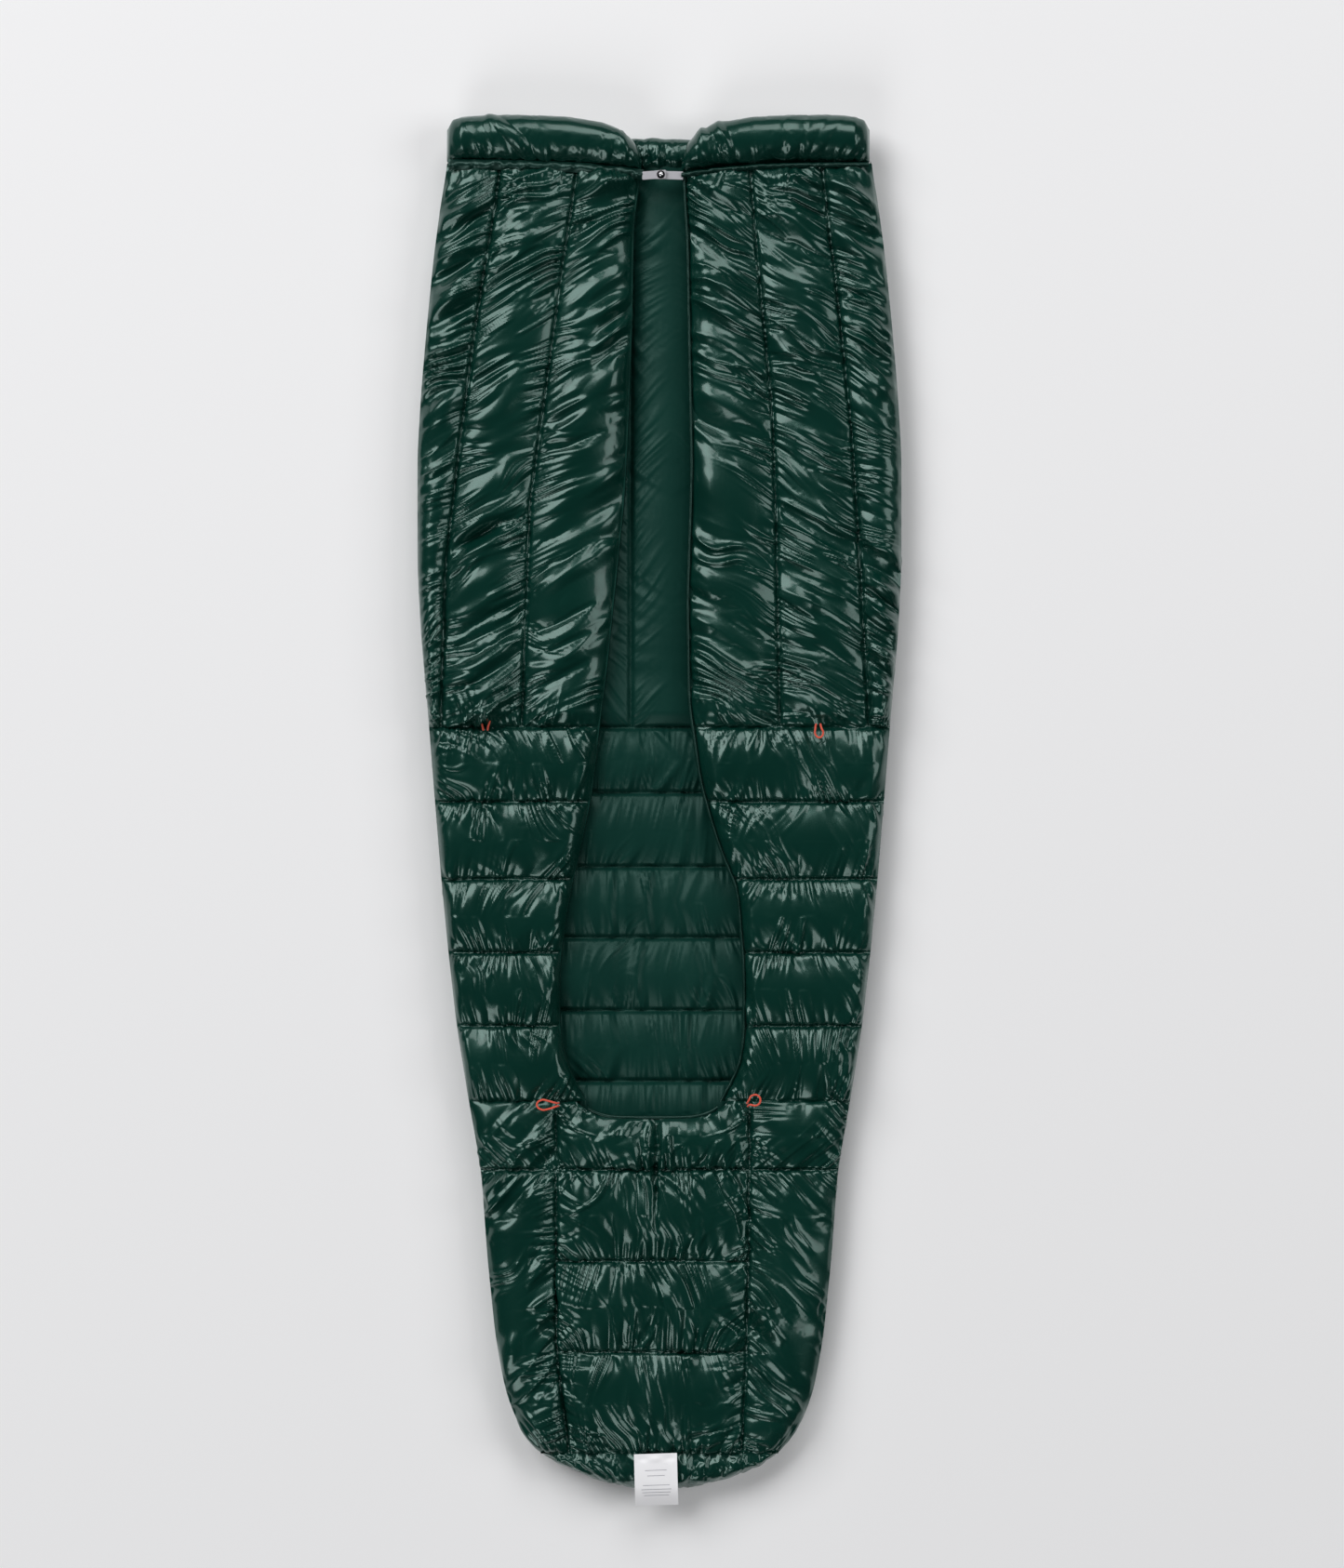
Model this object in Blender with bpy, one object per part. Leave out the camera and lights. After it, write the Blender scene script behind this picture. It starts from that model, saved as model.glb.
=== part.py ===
"""Camp quilt: a down quilt lying face down, with two back flaps, a closed foot and a snap strap at the neck.

+Y points to the collar, +X to the right flap and +Z up. The underside lies on z = 0.
The lower layer and the upper layer are each a sandwich: outer shell, down chambers, lining.
Each upper flap swings open about the long side edge, where the two layers meet.
"""

import bpy
import bmesh
from math import cos, pi, sin
from mathutils import Vector

# Heights above the ground, in metres
FABRIC = 0.0006            # thickness of shell and lining cloth
EASE = 0.0004              # clearance between cloth and down
SEAM_LOFT = 0.010          # thickness of a layer at a stitched seam
CROWN_LOFT = 0.027         # thickness of a layer at the middle of a chamber
CAVITY_FLOOR_RIM = 0.033   # top of the lower layer along the side edge
UPPER_BASE = 0.040         # underside of the flaps and of the foot top
HINGE_X = 0.335            # the side edge, where a flap folds
HINGE_Z = 0.034
COLLAR_LOFT = 0.034

# Lengths along the quilt (y) of the stitched seams
COLLAR_SEAM = 0.888
MAIN_SEAM = 0.107
FLAP_SEAMS = [MAIN_SEAM, 0.0045, -0.102, -0.203, -0.304, -0.408]
COVER_SEAMS = [MAIN_SEAM, 0.017, -0.086, -0.184, -0.285, -0.383, -0.630, -0.893]
FOOT_SEAMS = [-0.4095, -0.502, -0.628, -0.753, -0.893]
LONG_ROWS = [COLLAR_SEAM, 0.850, 0.729, 0.566, 0.417, 0.237, 0.145, MAIN_SEAM]
FOOT_TOP = -0.408
KEYHOLE_END = -0.431
FOOT_TIP = -0.949
CENTRE_SHIFT = 0.0075      # moves everything so that the origin is under the middle, label included

# Half the width of the quilt, as (y, x) from the collar to the foot end
OUTLINE = [
    (0.949, 0.291), (0.888, 0.291), (0.831, 0.301), (0.756, 0.311), (0.667, 0.320), (0.575, 0.328),
    (0.486, 0.3335), (0.327, 0.3335), (0.237, 0.329), (0.125, 0.319), (0.012, 0.310), (-0.099, 0.301),
    (-0.202, 0.291), (-0.300, 0.280), (-0.395, 0.265), (-0.502, 0.246), (-0.625, 0.237),
    (-0.733, 0.226), (-0.810, 0.212), (-0.863, 0.191), (-0.893, 0.166),
]
FOOT_CURVE = [(0.160, -0.899), (0.142, -0.913), (0.116, -0.926), (0.060, -0.942)]

# Seams and free edges of the flaps, as (y, distance from the centre line)
LEFT_OUTER_SEAM = [(0.876, 0.218), (0.667, 0.252), (0.486, 0.276), (0.327, 0.294), (0.107, 0.301)]
LEFT_INNER_SEAM = [(0.876, 0.113), (0.729, 0.135), (0.566, 0.157), (0.417, 0.178), (0.107, 0.189)]
LEFT_EDGE = [
    (0.867, 0.025), (0.801, 0.034), (0.667, 0.036), (0.486, 0.043), (0.417, 0.047), (0.282, 0.061),
    (0.193, 0.070), (0.125, 0.079), (0.012, 0.092), (-0.054, 0.106), (-0.133, 0.124),
    (-0.211, 0.135), (-0.336, 0.133), (-0.386, 0.115), (-0.408, 0.100),
]
RIGHT_INNER_SEAM = [(0.876, 0.125), (0.729, 0.137), (0.554, 0.155), (0.396, 0.161), (0.107, 0.166)]
RIGHT_OUTER_SEAM = [(0.876, 0.224), (0.688, 0.247), (0.509, 0.265), (0.372, 0.274), (0.107, 0.289)]
RIGHT_EDGE = [
    (0.858, 0.031), (0.777, 0.036), (0.554, 0.040), (0.464, 0.042), (0.282, 0.036), (0.139, 0.038),
    (0.094, 0.045), (0.030, 0.054), (-0.024, 0.069), (-0.077, 0.087), (-0.113, 0.105),
    (-0.234, 0.114), (-0.300, 0.114), (-0.354, 0.110), (-0.386, 0.096), (-0.408, 0.080),
]
ROLL_WIDTH = 0.012         # the soft roll along the left edge
BINDING_WIDTH = 0.005      # the narrow tape along the right edge
SIDE_BAND = 0.045          # width of the side chamber that closes the tube
LOWER_LONG_SEAMS = [-0.161, -0.040, 0.121]
FOOT_PANEL_LEFT = -0.142
FOOT_PANEL_RIGHT = 0.125

# Snap strap at the neck
TAB_Y = 0.8665
TAB_WIDTH = 0.0127
TAB_THICK = 0.0012
LOWER_TAB_Z = 0.0520
UPPER_TAB_Z = 0.0568
LEFT_TAB_ROOT = -0.0195
RIGHT_TAB_ROOT = 0.0275
STUD_X = 0.002

# Cord loops and care label
CORD_RADIUS = 0.0014
LOOP_RADIUS = 0.0065
LABEL_WIDTH = 0.059
LABEL_LENGTH = 0.073
LABEL_THICK = 0.0008
LABEL_X = -0.0055
LABEL_ROOT_Y = -0.891

# Colours: linear red, green, blue, then roughness and metallic
LOOKS = {
    "shell_fabric": ((0.006, 0.035, 0.024), 0.28, 0.0),
    "lining_fabric": ((0.016, 0.080, 0.055), 0.50, 0.0),
    "down_fill": ((0.80, 0.78, 0.74), 0.95, 0.0),
    "binding_fabric": ((0.005, 0.025, 0.018), 0.45, 0.0),
    "webbing": ((0.45, 0.45, 0.47), 0.80, 0.0),
    "snap_metal": ((0.75, 0.75, 0.77), 0.22, 1.0),
    "snap_ring": ((0.06, 0.06, 0.065), 0.35, 1.0),
    "loop_cord": ((0.82, 0.10, 0.045), 0.60, 0.0),
    "label_satin": ((0.88, 0.88, 0.88), 0.45, 0.0),
}

# A chamber rises from its seams to a level crown between these shares of its width
STEPS = [0.0, 0.2, 0.8, 1.0]


def clear_scene():
    for item in list(bpy.data.objects):
        bpy.data.objects.remove(item)


def look_up(table, y):
    """The value at y in a table of (y, value) that runs from the collar to the foot."""
    if y >= table[0][0]:
        return table[0][1]
    for (y0, v0), (y1, v1) in zip(table, table[1:]):
        if y >= y1:
            return v1 + (v0 - v1) * (y - y1) / (y0 - y1)
    return table[-1][1]


def half_width(y):
    return look_up(OUTLINE, y)


def spread(marks, steps=STEPS):
    """The marks with each stretch between two of them divided by the steps."""
    points = [marks[0]]
    for a, b in zip(marks, marks[1:]):
        points += [a + (b - a) * s for s in steps[1:]]
    return points


def material_for(name, slot):
    colour, roughness, metallic = LOOKS[slot]
    material = bpy.data.materials.new(name)
    material.use_nodes = True
    shader = material.node_tree.nodes["Principled BSDF"]
    shader.inputs["Base Color"].default_value = (*colour, 1.0)
    shader.inputs["Roughness"].default_value = roughness
    shader.inputs["Metallic"].default_value = metallic
    material.diffuse_color = (*colour, 1.0)
    return material


def add_piece(name, slot, points, faces, pivot):
    """Makes one closed solid whose origin is the pivot."""
    origin = Vector(pivot)
    middle = Vector((0.0, CENTRE_SHIFT, 0.0))
    mesh = bpy.data.meshes.new(name)
    mesh.from_pydata([Vector(p) - origin for p in points], [], faces)
    shape = bmesh.new()
    shape.from_mesh(mesh)
    if shape.calc_volume(signed=True) < 0:
        bmesh.ops.reverse_faces(shape, faces=shape.faces)
    shape.to_mesh(mesh)
    shape.free()
    mesh.materials.append(material_for(name, slot))
    piece = bpy.data.objects.new(name, mesh)
    piece.location = origin + middle
    bpy.context.scene.collection.objects.link(piece)
    return piece


def slab(name, slot, upper, lower, pivot=(0.0, 0.0, 0.0)):
    """A closed solid between two grids of points with the same rows and columns."""
    rows, columns = len(upper), len(upper[0])
    points = [p for row in upper for p in row] + [p for row in lower for p in row]
    under = rows * columns

    def at(r, c):
        return r * columns + c

    faces = []
    for r in range(rows - 1):
        for c in range(columns - 1):
            a, b, d, e = at(r, c), at(r, c + 1), at(r + 1, c + 1), at(r + 1, c)
            # Every layer splits its squares along the same diagonal, so that they nest
            for corner in ((a, b, d), (a, d, e)):
                faces.append(corner)
                faces.append(tuple(under + i for i in reversed(corner)))
    rim = [at(0, c) for c in range(columns)]
    rim += [at(r, columns - 1) for r in range(1, rows)]
    rim += [at(rows - 1, c) for c in range(columns - 2, -1, -1)]
    rim += [at(r, 0) for r in range(rows - 2, 0, -1)]
    for a, b in zip(rim, rim[1:] + rim[:1]):
        faces.append((b, a, under + a, under + b))
    return add_piece(name, slot, points, faces, pivot)


def lowered(grid, drop):
    return [[(x, y, z - drop) for x, y, z in row] for row in grid]


def flattened(grid, height):
    return [[(x, y, height) for x, y, z in row] for row in grid]


def block(grid, rows, columns, gap=0.0005):
    """Part of a grid, its outermost points moved in by the gap so that it stays clear of its neighbours."""
    r0, r1 = rows
    c0, c1 = columns
    inward = gap if grid[r0][c1][0] > grid[r0][c0][0] else -gap
    part = []
    for r in range(r0, r1 + 1):
        line = []
        for c in range(c0, c1 + 1):
            x, y, z = grid[r][c]
            x += inward * ((c == c0) - (c == c1))
            y += gap * ((r == r1) - (r == r0))
            line.append((x, y, z))
        part.append(line)
    return part


def chamber(name, shell, rows, columns, base, pivot=(0.0, 0.0, 0.0)):
    """The down fill between stitched seams, just under the cloth whose outer side is the shell grid."""
    top = lowered(block(shell, rows, columns), FABRIC + EASE)
    return slab(name, "down_fill", top, flattened(top, base), pivot)


def strip(name, slot, path, width, low, high, pivot):
    """A soft roll or tape with eight sides that follows the path of (x, y) and is width wide towards +X."""
    corner = width * 0.3
    rise = (high - low) * 0.3
    ring = [
        (0.0, low + rise), (corner, low), (width - corner, low), (width, low + rise),
        (width, high - rise), (width - corner, high), (corner, high), (0.0, high - rise),
    ]
    points = [(x + dx, y, z) for x, y in path for dx, z in ring]
    n = len(ring)
    faces = [tuple(range(n)), tuple(range(len(points) - 1, len(points) - n - 1, -1))]
    for i in range(len(path) - 1):
        for k in range(n):
            a, b = i * n + k, i * n + (k + 1) % n
            faces.append((b, a, a + n, b + n))
    return add_piece(name, slot, points, faces, pivot)


# ---------------------------------------------------------------- lower layer

def build_cover():
    """The face of the quilt: it lies on the ground and carries everything else."""
    inside = FABRIC + EASE
    rows = LONG_ROWS + spread(COVER_SEAMS)[1:]
    long_count = len(LONG_ROWS)
    row_rise = [0.0] + [1.0] * (long_count - 2) + [0.0] + [1.0, 1.0, 0.0] * (len(COVER_SEAMS) - 1)

    def long_marks(y):
        edge = half_width(y) - inside
        return edge, edge - SIDE_BAND

    middle_edge = long_marks(MAIN_SEAM)[1]
    marks = spread([-middle_edge, *LOWER_LONG_SEAMS, middle_edge])
    shares = [m / middle_edge for m in marks]
    column_rise = [0.0, 1.0, 1.0] * (len(LOWER_LONG_SEAMS) + 1) + [0.0]
    crown = CROWN_LOFT - SEAM_LOFT
    lining = []
    for r, y in enumerate(rows):
        edge, band = long_marks(y)
        left = [
            (-edge, y, CAVITY_FLOOR_RIM),
            (-edge + SIDE_BAND * 0.3, y, CAVITY_FLOOR_RIM - 0.002),
            (-edge + SIDE_BAND * 0.65, y, CROWN_LOFT - 0.005),
        ]
        middle = []
        for c, share in enumerate(shares):
            across = column_rise[c] if r < long_count - 1 else float(0 < c < len(shares) - 1)
            middle.append((share * band, y, SEAM_LOFT + crown * row_rise[r] * across))
        right = [(-x, y, z) for x, y, z in reversed(left)]
        lining.append(left + middle + right)
    last_row, last_column = len(rows) - 1, len(lining[0]) - 1

    edges = [(half_width(y), y) for y in rows]
    plate = [[(-x, y, FABRIC), (x, y, FABRIC)] for x, y in edges]
    plate += [[(-x, y, FABRIC), (x, y, FABRIC)] for x, y in FOOT_CURVE]
    plate += [[(-0.020, FOOT_TIP, FABRIC), (0.020, FOOT_TIP, FABRIC)]]
    slab("cover_shell", "shell_fabric", plate, flattened(plate, 0.0))

    wall = [(-x, y) for x, y in edges] + [(-x, y) for x, y in FOOT_CURVE] + [(-0.020, FOOT_TIP)]
    wall += [(-x, y) for x, y in reversed(wall)]
    outer = [[(x, y, CAVITY_FLOOR_RIM), (x, y, FABRIC + EASE)] for x, y in wall]
    inner = []
    for i, (x, y) in enumerate(wall):
        ahead = Vector(wall[min(i + 1, len(wall) - 1)]) - Vector(wall[max(i - 1, 0)])
        side = Vector((-ahead.y, ahead.x)).normalized() * FABRIC
        inner.append([(x + side.x, y + side.y, z) for z in (CAVITY_FLOOR_RIM, FABRIC + EASE)])
    slab("side_wrap", "shell_fabric", outer, inner)

    slab("cover_lining", "lining_fabric", lining, lowered(lining, FABRIC))
    base = FABRIC + EASE
    for i in range(len(LOWER_LONG_SEAMS) + 1):
        columns = (3 + 3 * i, 6 + 3 * i)
        chamber(f"cover_down_long_{i + 1}", lining, (0, long_count - 1), columns, base)
    for i in range(len(COVER_SEAMS) - 1):
        start = long_count - 1 + 3 * i
        chamber(f"cover_down_cross_{i + 1}", lining, (start, start + 3), (3, last_column - 3), base)
    chamber("cover_down_side_left", lining, (0, last_row), (0, 3), base)
    chamber("cover_down_side_right", lining, (0, last_row), (last_column - 3, last_column), base)

    collar_rows = [(0.889, 0.6), (0.895, 0.95), (0.908, 0.95), (0.916, 0.5)]
    top = []
    for y, rise in collar_rows:
        top.append([(x, y, 0.032 * rise) for x in (-0.285, -0.15, -0.03, 0.03, 0.15, 0.285)])
    slab("front_collar", "shell_fabric", top, flattened(top, 0.0005))


# ---------------------------------------------------------------- flaps

def build_flap(side, outer_seam, inner_seam, edge, tape):
    """One back flap. side is -1 for the left and +1 for the right."""
    word = "left" if side < 0 else "right"
    pivot = (side * HINGE_X, 0.0, HINGE_Z)
    crown = CROWN_LOFT - SEAM_LOFT
    rows = LONG_ROWS + spread(FLAP_SEAMS)[1:]
    long_count = len(LONG_ROWS)
    row_rise = [0.0] + [1.0] * (long_count - 2) + [0.0] + [1.0, 1.0, 0.0] * (len(FLAP_SEAMS) - 1)
    at_waist = [half_width(MAIN_SEAM), look_up(outer_seam, MAIN_SEAM), look_up(inner_seam, MAIN_SEAM)]
    at_waist.append(look_up(edge, MAIN_SEAM) + tape)
    waist = spread(at_waist)
    waist_shares = [(m - waist[-1]) / (waist[0] - waist[-1]) for m in waist]
    shell, soft = [], []
    for r, y in enumerate(rows):
        width = half_width(y)
        free = look_up(edge, y) + tape + EASE
        if r < long_count:
            marks = spread([width, look_up(outer_seam, y), look_up(inner_seam, y), free])
            across = [0.0] + [1.0, 1.0, 0.0] * 3
        else:
            marks = [free + share * (width - free) for share in waist_shares]
            across = [0.0] + [1.0] * (len(marks) - 2) + [0.0]
        line = []
        for c, x in enumerate(marks):
            dip = 0.016 * (1 - (x - free) / (width - free)) if r == 0 else 0.0
            height = UPPER_BASE + SEAM_LOFT + crown * row_rise[r] * across[c]
            line.append((side * x, y - dip, height))
        shell.append([(side * width, line[0][1], HINGE_Z + 0.0008)] + line)
        inner_x = side * (width - FABRIC - EASE)
        soft.append([(inner_x, line[0][1], line[0][2])] + line[1:])
    under = []
    for line in shell:
        skirt = [(side * (abs(x) - FABRIC), y, z) for x, y, z in line[:1]]
        corner = [(side * (abs(x) - FABRIC), y, z - FABRIC) for x, y, z in line[1:2]]
        under.append(skirt + corner + [(x, y, z - FABRIC) for x, y, z in line[2:]])
    slab(f"{word}_flap_shell", "shell_fabric", shell, under, pivot)

    ceiling = UPPER_BASE + FABRIC
    lining = [[(*line[0][:2], ceiling), (*line[-1][:2], ceiling)] for line in soft]
    slab(f"{word}_flap_lining", "lining_fabric", lining, flattened(lining, UPPER_BASE), pivot)
    base = UPPER_BASE + FABRIC + EASE
    places = ("outer", "middle", "inner")
    for i, place in enumerate(places):
        chamber(f"{word}_flap_down_{place}", soft, (0, long_count - 1), (3 * i, 3 * i + 3), base, pivot)
    for i in range(len(FLAP_SEAMS) - 1):
        start = long_count - 1 + 3 * i
        chamber(f"{word}_flap_down_cross_{i + 1}", soft, (start, start + 3), (0, 9), base, pivot)

    top_y = COLLAR_SEAM - 0.016
    path_rows = [top_y - 0.001] + rows[1:]
    path = []
    for y in path_rows:
        x = look_up(edge, y)
        path.append((-x - tape if side < 0 else x, y))
    high = UPPER_BASE + (0.016 if side < 0 else SEAM_LOFT)
    name = "left_slit_roll" if side < 0 else "right_slit_binding"
    strip(name, "binding_fabric", path, tape, UPPER_BASE, high, pivot)

    ends = (0.025, 0.294) if side < 0 else (0.031, 0.289)
    tops = [0.905, 0.932, 0.943, 0.949, 0.949, 0.940]
    stations = [0.0, 0.12, 0.3, 0.6, 0.9, 1.0]
    lobe = []
    for up, rise in ((0.0, 0.55), (0.25, 1.0), (0.75, 1.0), (1.0, 0.5)):
        line = []
        for share, top in zip(stations, tops):
            x = ends[0] + share * (ends[1] - ends[0])
            root = COLLAR_SEAM + 0.001 - 0.016 * (1 - share)
            end_rise = 0.7 if share in (0.0, 1.0) else 1.0
            line.append((side * x, root + up * (top - root), UPPER_BASE + COLLAR_LOFT * rise * end_rise))
        lobe.append(line)
    slab(f"{word}_collar", "shell_fabric", lobe, flattened(lobe, UPPER_BASE), pivot)


# ---------------------------------------------------------------- closed foot

def build_foot():
    """The upper side of the closed foot, from the keyhole to the foot end."""
    crown = CROWN_LOFT - SEAM_LOFT
    rows = spread(FOOT_SEAMS)
    shell, soft = [], []
    for r, y in enumerate(rows):
        width = half_width(y)
        left, right = -min(-FOOT_PANEL_LEFT, width - 0.030), min(FOOT_PANEL_RIGHT, width - 0.030)
        marks = spread([-width, left, right, width])
        across = [0.0] + [1.0, 1.0, 0.0] * 3
        rise = 1.0 if r % 3 else 0.0
        line = []
        for c, x in enumerate(marks):
            dip = (FOOT_TOP - KEYHOLE_END) * (c in (4, 5)) * (1 - r / 3) if r < 3 else 0.0
            line.append((x, y - dip, UPPER_BASE + SEAM_LOFT + crown * rise * across[c]))
        skirts = [(x, y, HINGE_Z + 0.0008) for x in (-width, width)]
        shell.append(skirts[:1] + line + skirts[1:])
        inside = width - FABRIC - EASE
        soft.append([(-inside, *line[0][1:])] + line[1:-1] + [(inside, *line[-1][1:])])
    under = []
    for line in shell:
        row = []
        for c, (x, y, z) in enumerate(line):
            inward = FABRIC * ((c < 2) - (c > len(line) - 3))
            drop = 0.0 if c in (0, len(line) - 1) else FABRIC
            row.append((x + inward, y, z - drop))
        under.append(row)
    slab("foot_shell", "shell_fabric", shell, under)
    lining = [[(x, y, UPPER_BASE + FABRIC) for x, y, z in line] for line in soft]
    slab("foot_lining", "lining_fabric", lining, flattened(lining, UPPER_BASE))
    base = UPPER_BASE + FABRIC + EASE
    for i in range(len(FOOT_SEAMS) - 1):
        chamber(f"foot_down_centre_{i + 1}", soft, (3 * i, 3 * i + 3), (3, 6), base)
    chamber("foot_down_side_left", soft, (0, len(rows) - 1), (0, 3), base)
    chamber("foot_down_side_right", soft, (0, len(rows) - 1), (6, 9), base)

    curve = [(0.162, -0.8945), *[(x - 0.004, y) for x, y in FOOT_CURVE], (0.020, FOOT_TIP + 0.002)]
    top, bottom = [], []
    for i, (x, y) in enumerate(curve):
        fade = i / (len(curve) - 1)
        high = UPPER_BASE + SEAM_LOFT + 0.006 * sin(pi * min(1.0, fade * 1.6)) - 0.022 * fade ** 3
        xs = [-x, -x * 0.55, 0.0, x * 0.55, x]
        drops = [0.012, 0.0, 0.0, 0.0, 0.012]
        top.append([(px, y, high - drop) for px, drop in zip(xs, drops)])
        bottom.append([(px, y, FABRIC + EASE) for px in xs])
    slab("foot_end", "shell_fabric", top, bottom)


# ---------------------------------------------------------------- snap strap

def turned_ring(name, slot, profile, centre, pivot, sides=20):
    """A turned ring about the vertical line through the centre, from a closed list of (radius, z)."""
    points, faces = [], []
    n = len(profile)
    for k in range(sides):
        angle = 2 * pi * k / sides
        points += [(centre[0] + r * cos(angle), centre[1] + r * sin(angle), z) for r, z in profile]
    for k in range(sides):
        k2 = (k + 1) % sides
        for i in range(n):
            j = (i + 1) % n
            faces.append((k * n + i, k2 * n + i, k2 * n + j, k * n + j))
    return add_piece(name, slot, points, faces, pivot)


def turned_solid(name, slot, profile, centre, pivot, sides=20):
    """A solid without a hole; the profile of (radius, z) runs from the lower centre to the upper centre."""
    rim = profile[1:-1]
    n = len(rim)
    points = [(*centre, profile[0][1]), (*centre, profile[-1][1])]
    for k in range(sides):
        angle = 2 * pi * k / sides
        points += [(centre[0] + r * cos(angle), centre[1] + r * sin(angle), z) for r, z in rim]
    faces = []
    for k in range(sides):
        a, b = 2 + k * n, 2 + (k + 1) % sides * n
        faces.append((0, b, a))
        faces.append((1, a + n - 1, b + n - 1))
        faces += [(a + i, b + i, b + i + 1, a + i + 1) for i in range(n - 1)]
    return add_piece(name, slot, points, faces, pivot)


def tab_with_hole(name, x0, x1, z, hole, pivot, sides=20):
    """A webbing tab along X with a round hole punched for the snap's post."""
    half = TAB_WIDTH / 2
    outline = []
    for k in range(sides):
        angle = 2 * pi * k / sides
        dx, dy = cos(angle), sin(angle)
        reach = [((x1 - STUD_X) if dx > 0 else (STUD_X - x0)) / abs(dx)] if abs(dx) > 1e-9 else []
        reach += [half / abs(dy)] if abs(dy) > 1e-9 else []
        outline.append((STUD_X + dx * min(reach), TAB_Y + dy * min(reach)))
    turns = [2 * pi * k / sides for k in range(sides)]
    ring = [(STUD_X + hole * cos(a), TAB_Y + hole * sin(a)) for a in turns]
    points = []
    for height in (z, z + TAB_THICK):
        points += [(x, y, height) for x, y in outline]
        points += [(x, y, height) for x, y in ring]
    faces = []
    for k in range(sides):
        k2 = (k + 1) % sides
        low_out, low_in, up_out, up_in = 0, sides, 2 * sides, 3 * sides
        faces.append((low_out + k, low_in + k, low_in + k2, low_out + k2))
        faces.append((up_out + k, up_out + k2, up_in + k2, up_in + k))
        faces.append((low_out + k, low_out + k2, up_out + k2, up_out + k))
        faces.append((low_in + k, up_in + k, up_in + k2, low_in + k2))
    return add_piece(name, "webbing", points, faces, pivot)


def build_snap():
    """Two webbing tabs: the upper one carries the cap and socket, the lower one the stud."""
    upper_pivot = (LEFT_TAB_ROOT, TAB_Y, UPPER_TAB_Z)
    lower_pivot = (HINGE_X, 0.0, HINGE_Z)
    centre = (STUD_X, TAB_Y)
    tab_with_hole("snap_tab_upper", LEFT_TAB_ROOT, 0.0105, UPPER_TAB_Z, 0.0016, upper_pivot)
    tab_with_hole("snap_tab_lower", -0.0075, RIGHT_TAB_ROOT, LOWER_TAB_Z, 0.0016, lower_pivot)
    z = UPPER_TAB_Z + TAB_THICK + 0.0003
    cap = [(0.0, UPPER_TAB_Z - 0.0002), (0.0012, UPPER_TAB_Z - 0.0002), (0.0012, z), (0.0036, z)]
    cap += [(0.0036 * cos(a), z + 0.0006 + 0.0022 * sin(a)) for a in (0.0, 0.4, 0.8, 1.2)]
    cap.append((0.0, z + 0.0028))
    turned_solid("snap_cap", "snap_metal", cap, centre, upper_pivot)
    s = UPPER_TAB_Z - 0.0003
    socket = [(0.0033, s - 0.0018), (0.0055, s - 0.0018), (0.0055, s)]
    socket += [(0.0015, s), (0.0015, s - 0.0004), (0.0033, s - 0.0004)]
    turned_ring("snap_socket", "snap_ring", socket, centre, upper_pivot)
    low = LOWER_TAB_Z
    up = low + TAB_THICK
    stud = [(0.0, low - 0.0012), (0.0040, low - 0.0012), (0.0040, low - 0.0003), (0.0012, low - 0.0003)]
    stud += [(0.0012, up + 0.0003), (0.0026, up + 0.0003), (0.0026, up + 0.0010)]
    stud += [(0.0024, up + 0.0024), (0.0, up + 0.0027)]
    turned_solid("snap_stud", "snap_metal", stud, centre, lower_pivot)


# ---------------------------------------------------------------- loops and label

def build_loop(name, root, heading, spread_x, reach, z, radius=LOOP_RADIUS):
    """A bent cord sewn down at its two ends; it lies flat and points along heading, a unit (x, y)."""
    path = [(-spread_x, 0.0)]
    count = 10
    for k in range(count + 1):
        angle = pi - pi * k / count
        path.append((radius * cos(angle), reach - radius + radius * sin(angle)))
    path.append((spread_x, 0.0))
    sides = 8
    points, faces = [], []
    for i, (px, py) in enumerate(path):
        before, after = Vector(path[max(i - 1, 0)]), Vector(path[min(i + 1, len(path) - 1)])
        ahead = (after - before).normalized()
        across = Vector((-ahead.y, ahead.x))
        if i in (0, len(path) - 1):
            across = Vector((1.0, 0.0)) * (1 if across.x > 0 else -1)
        for k in range(sides):
            angle = 2 * pi * k / sides
            offset = across * CORD_RADIUS * cos(angle)
            wide, out = px + offset.x, py + offset.y
            x = root[0] + heading[1] * wide + heading[0] * out
            y = root[1] - heading[0] * wide + heading[1] * out
            points.append((x, y, z + CORD_RADIUS * sin(angle)))
    last = len(path) - 1
    faces = [tuple(range(sides)), tuple(range((last + 1) * sides - 1, last * sides - 1, -1))]
    for i in range(last):
        for k in range(sides):
            a, b = i * sides + k, i * sides + (k + 1) % sides
            faces.append((b, a, a + sides, b + sides))
    add_piece(name, "loop_cord", points, faces, (root[0], root[1], z))


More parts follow.
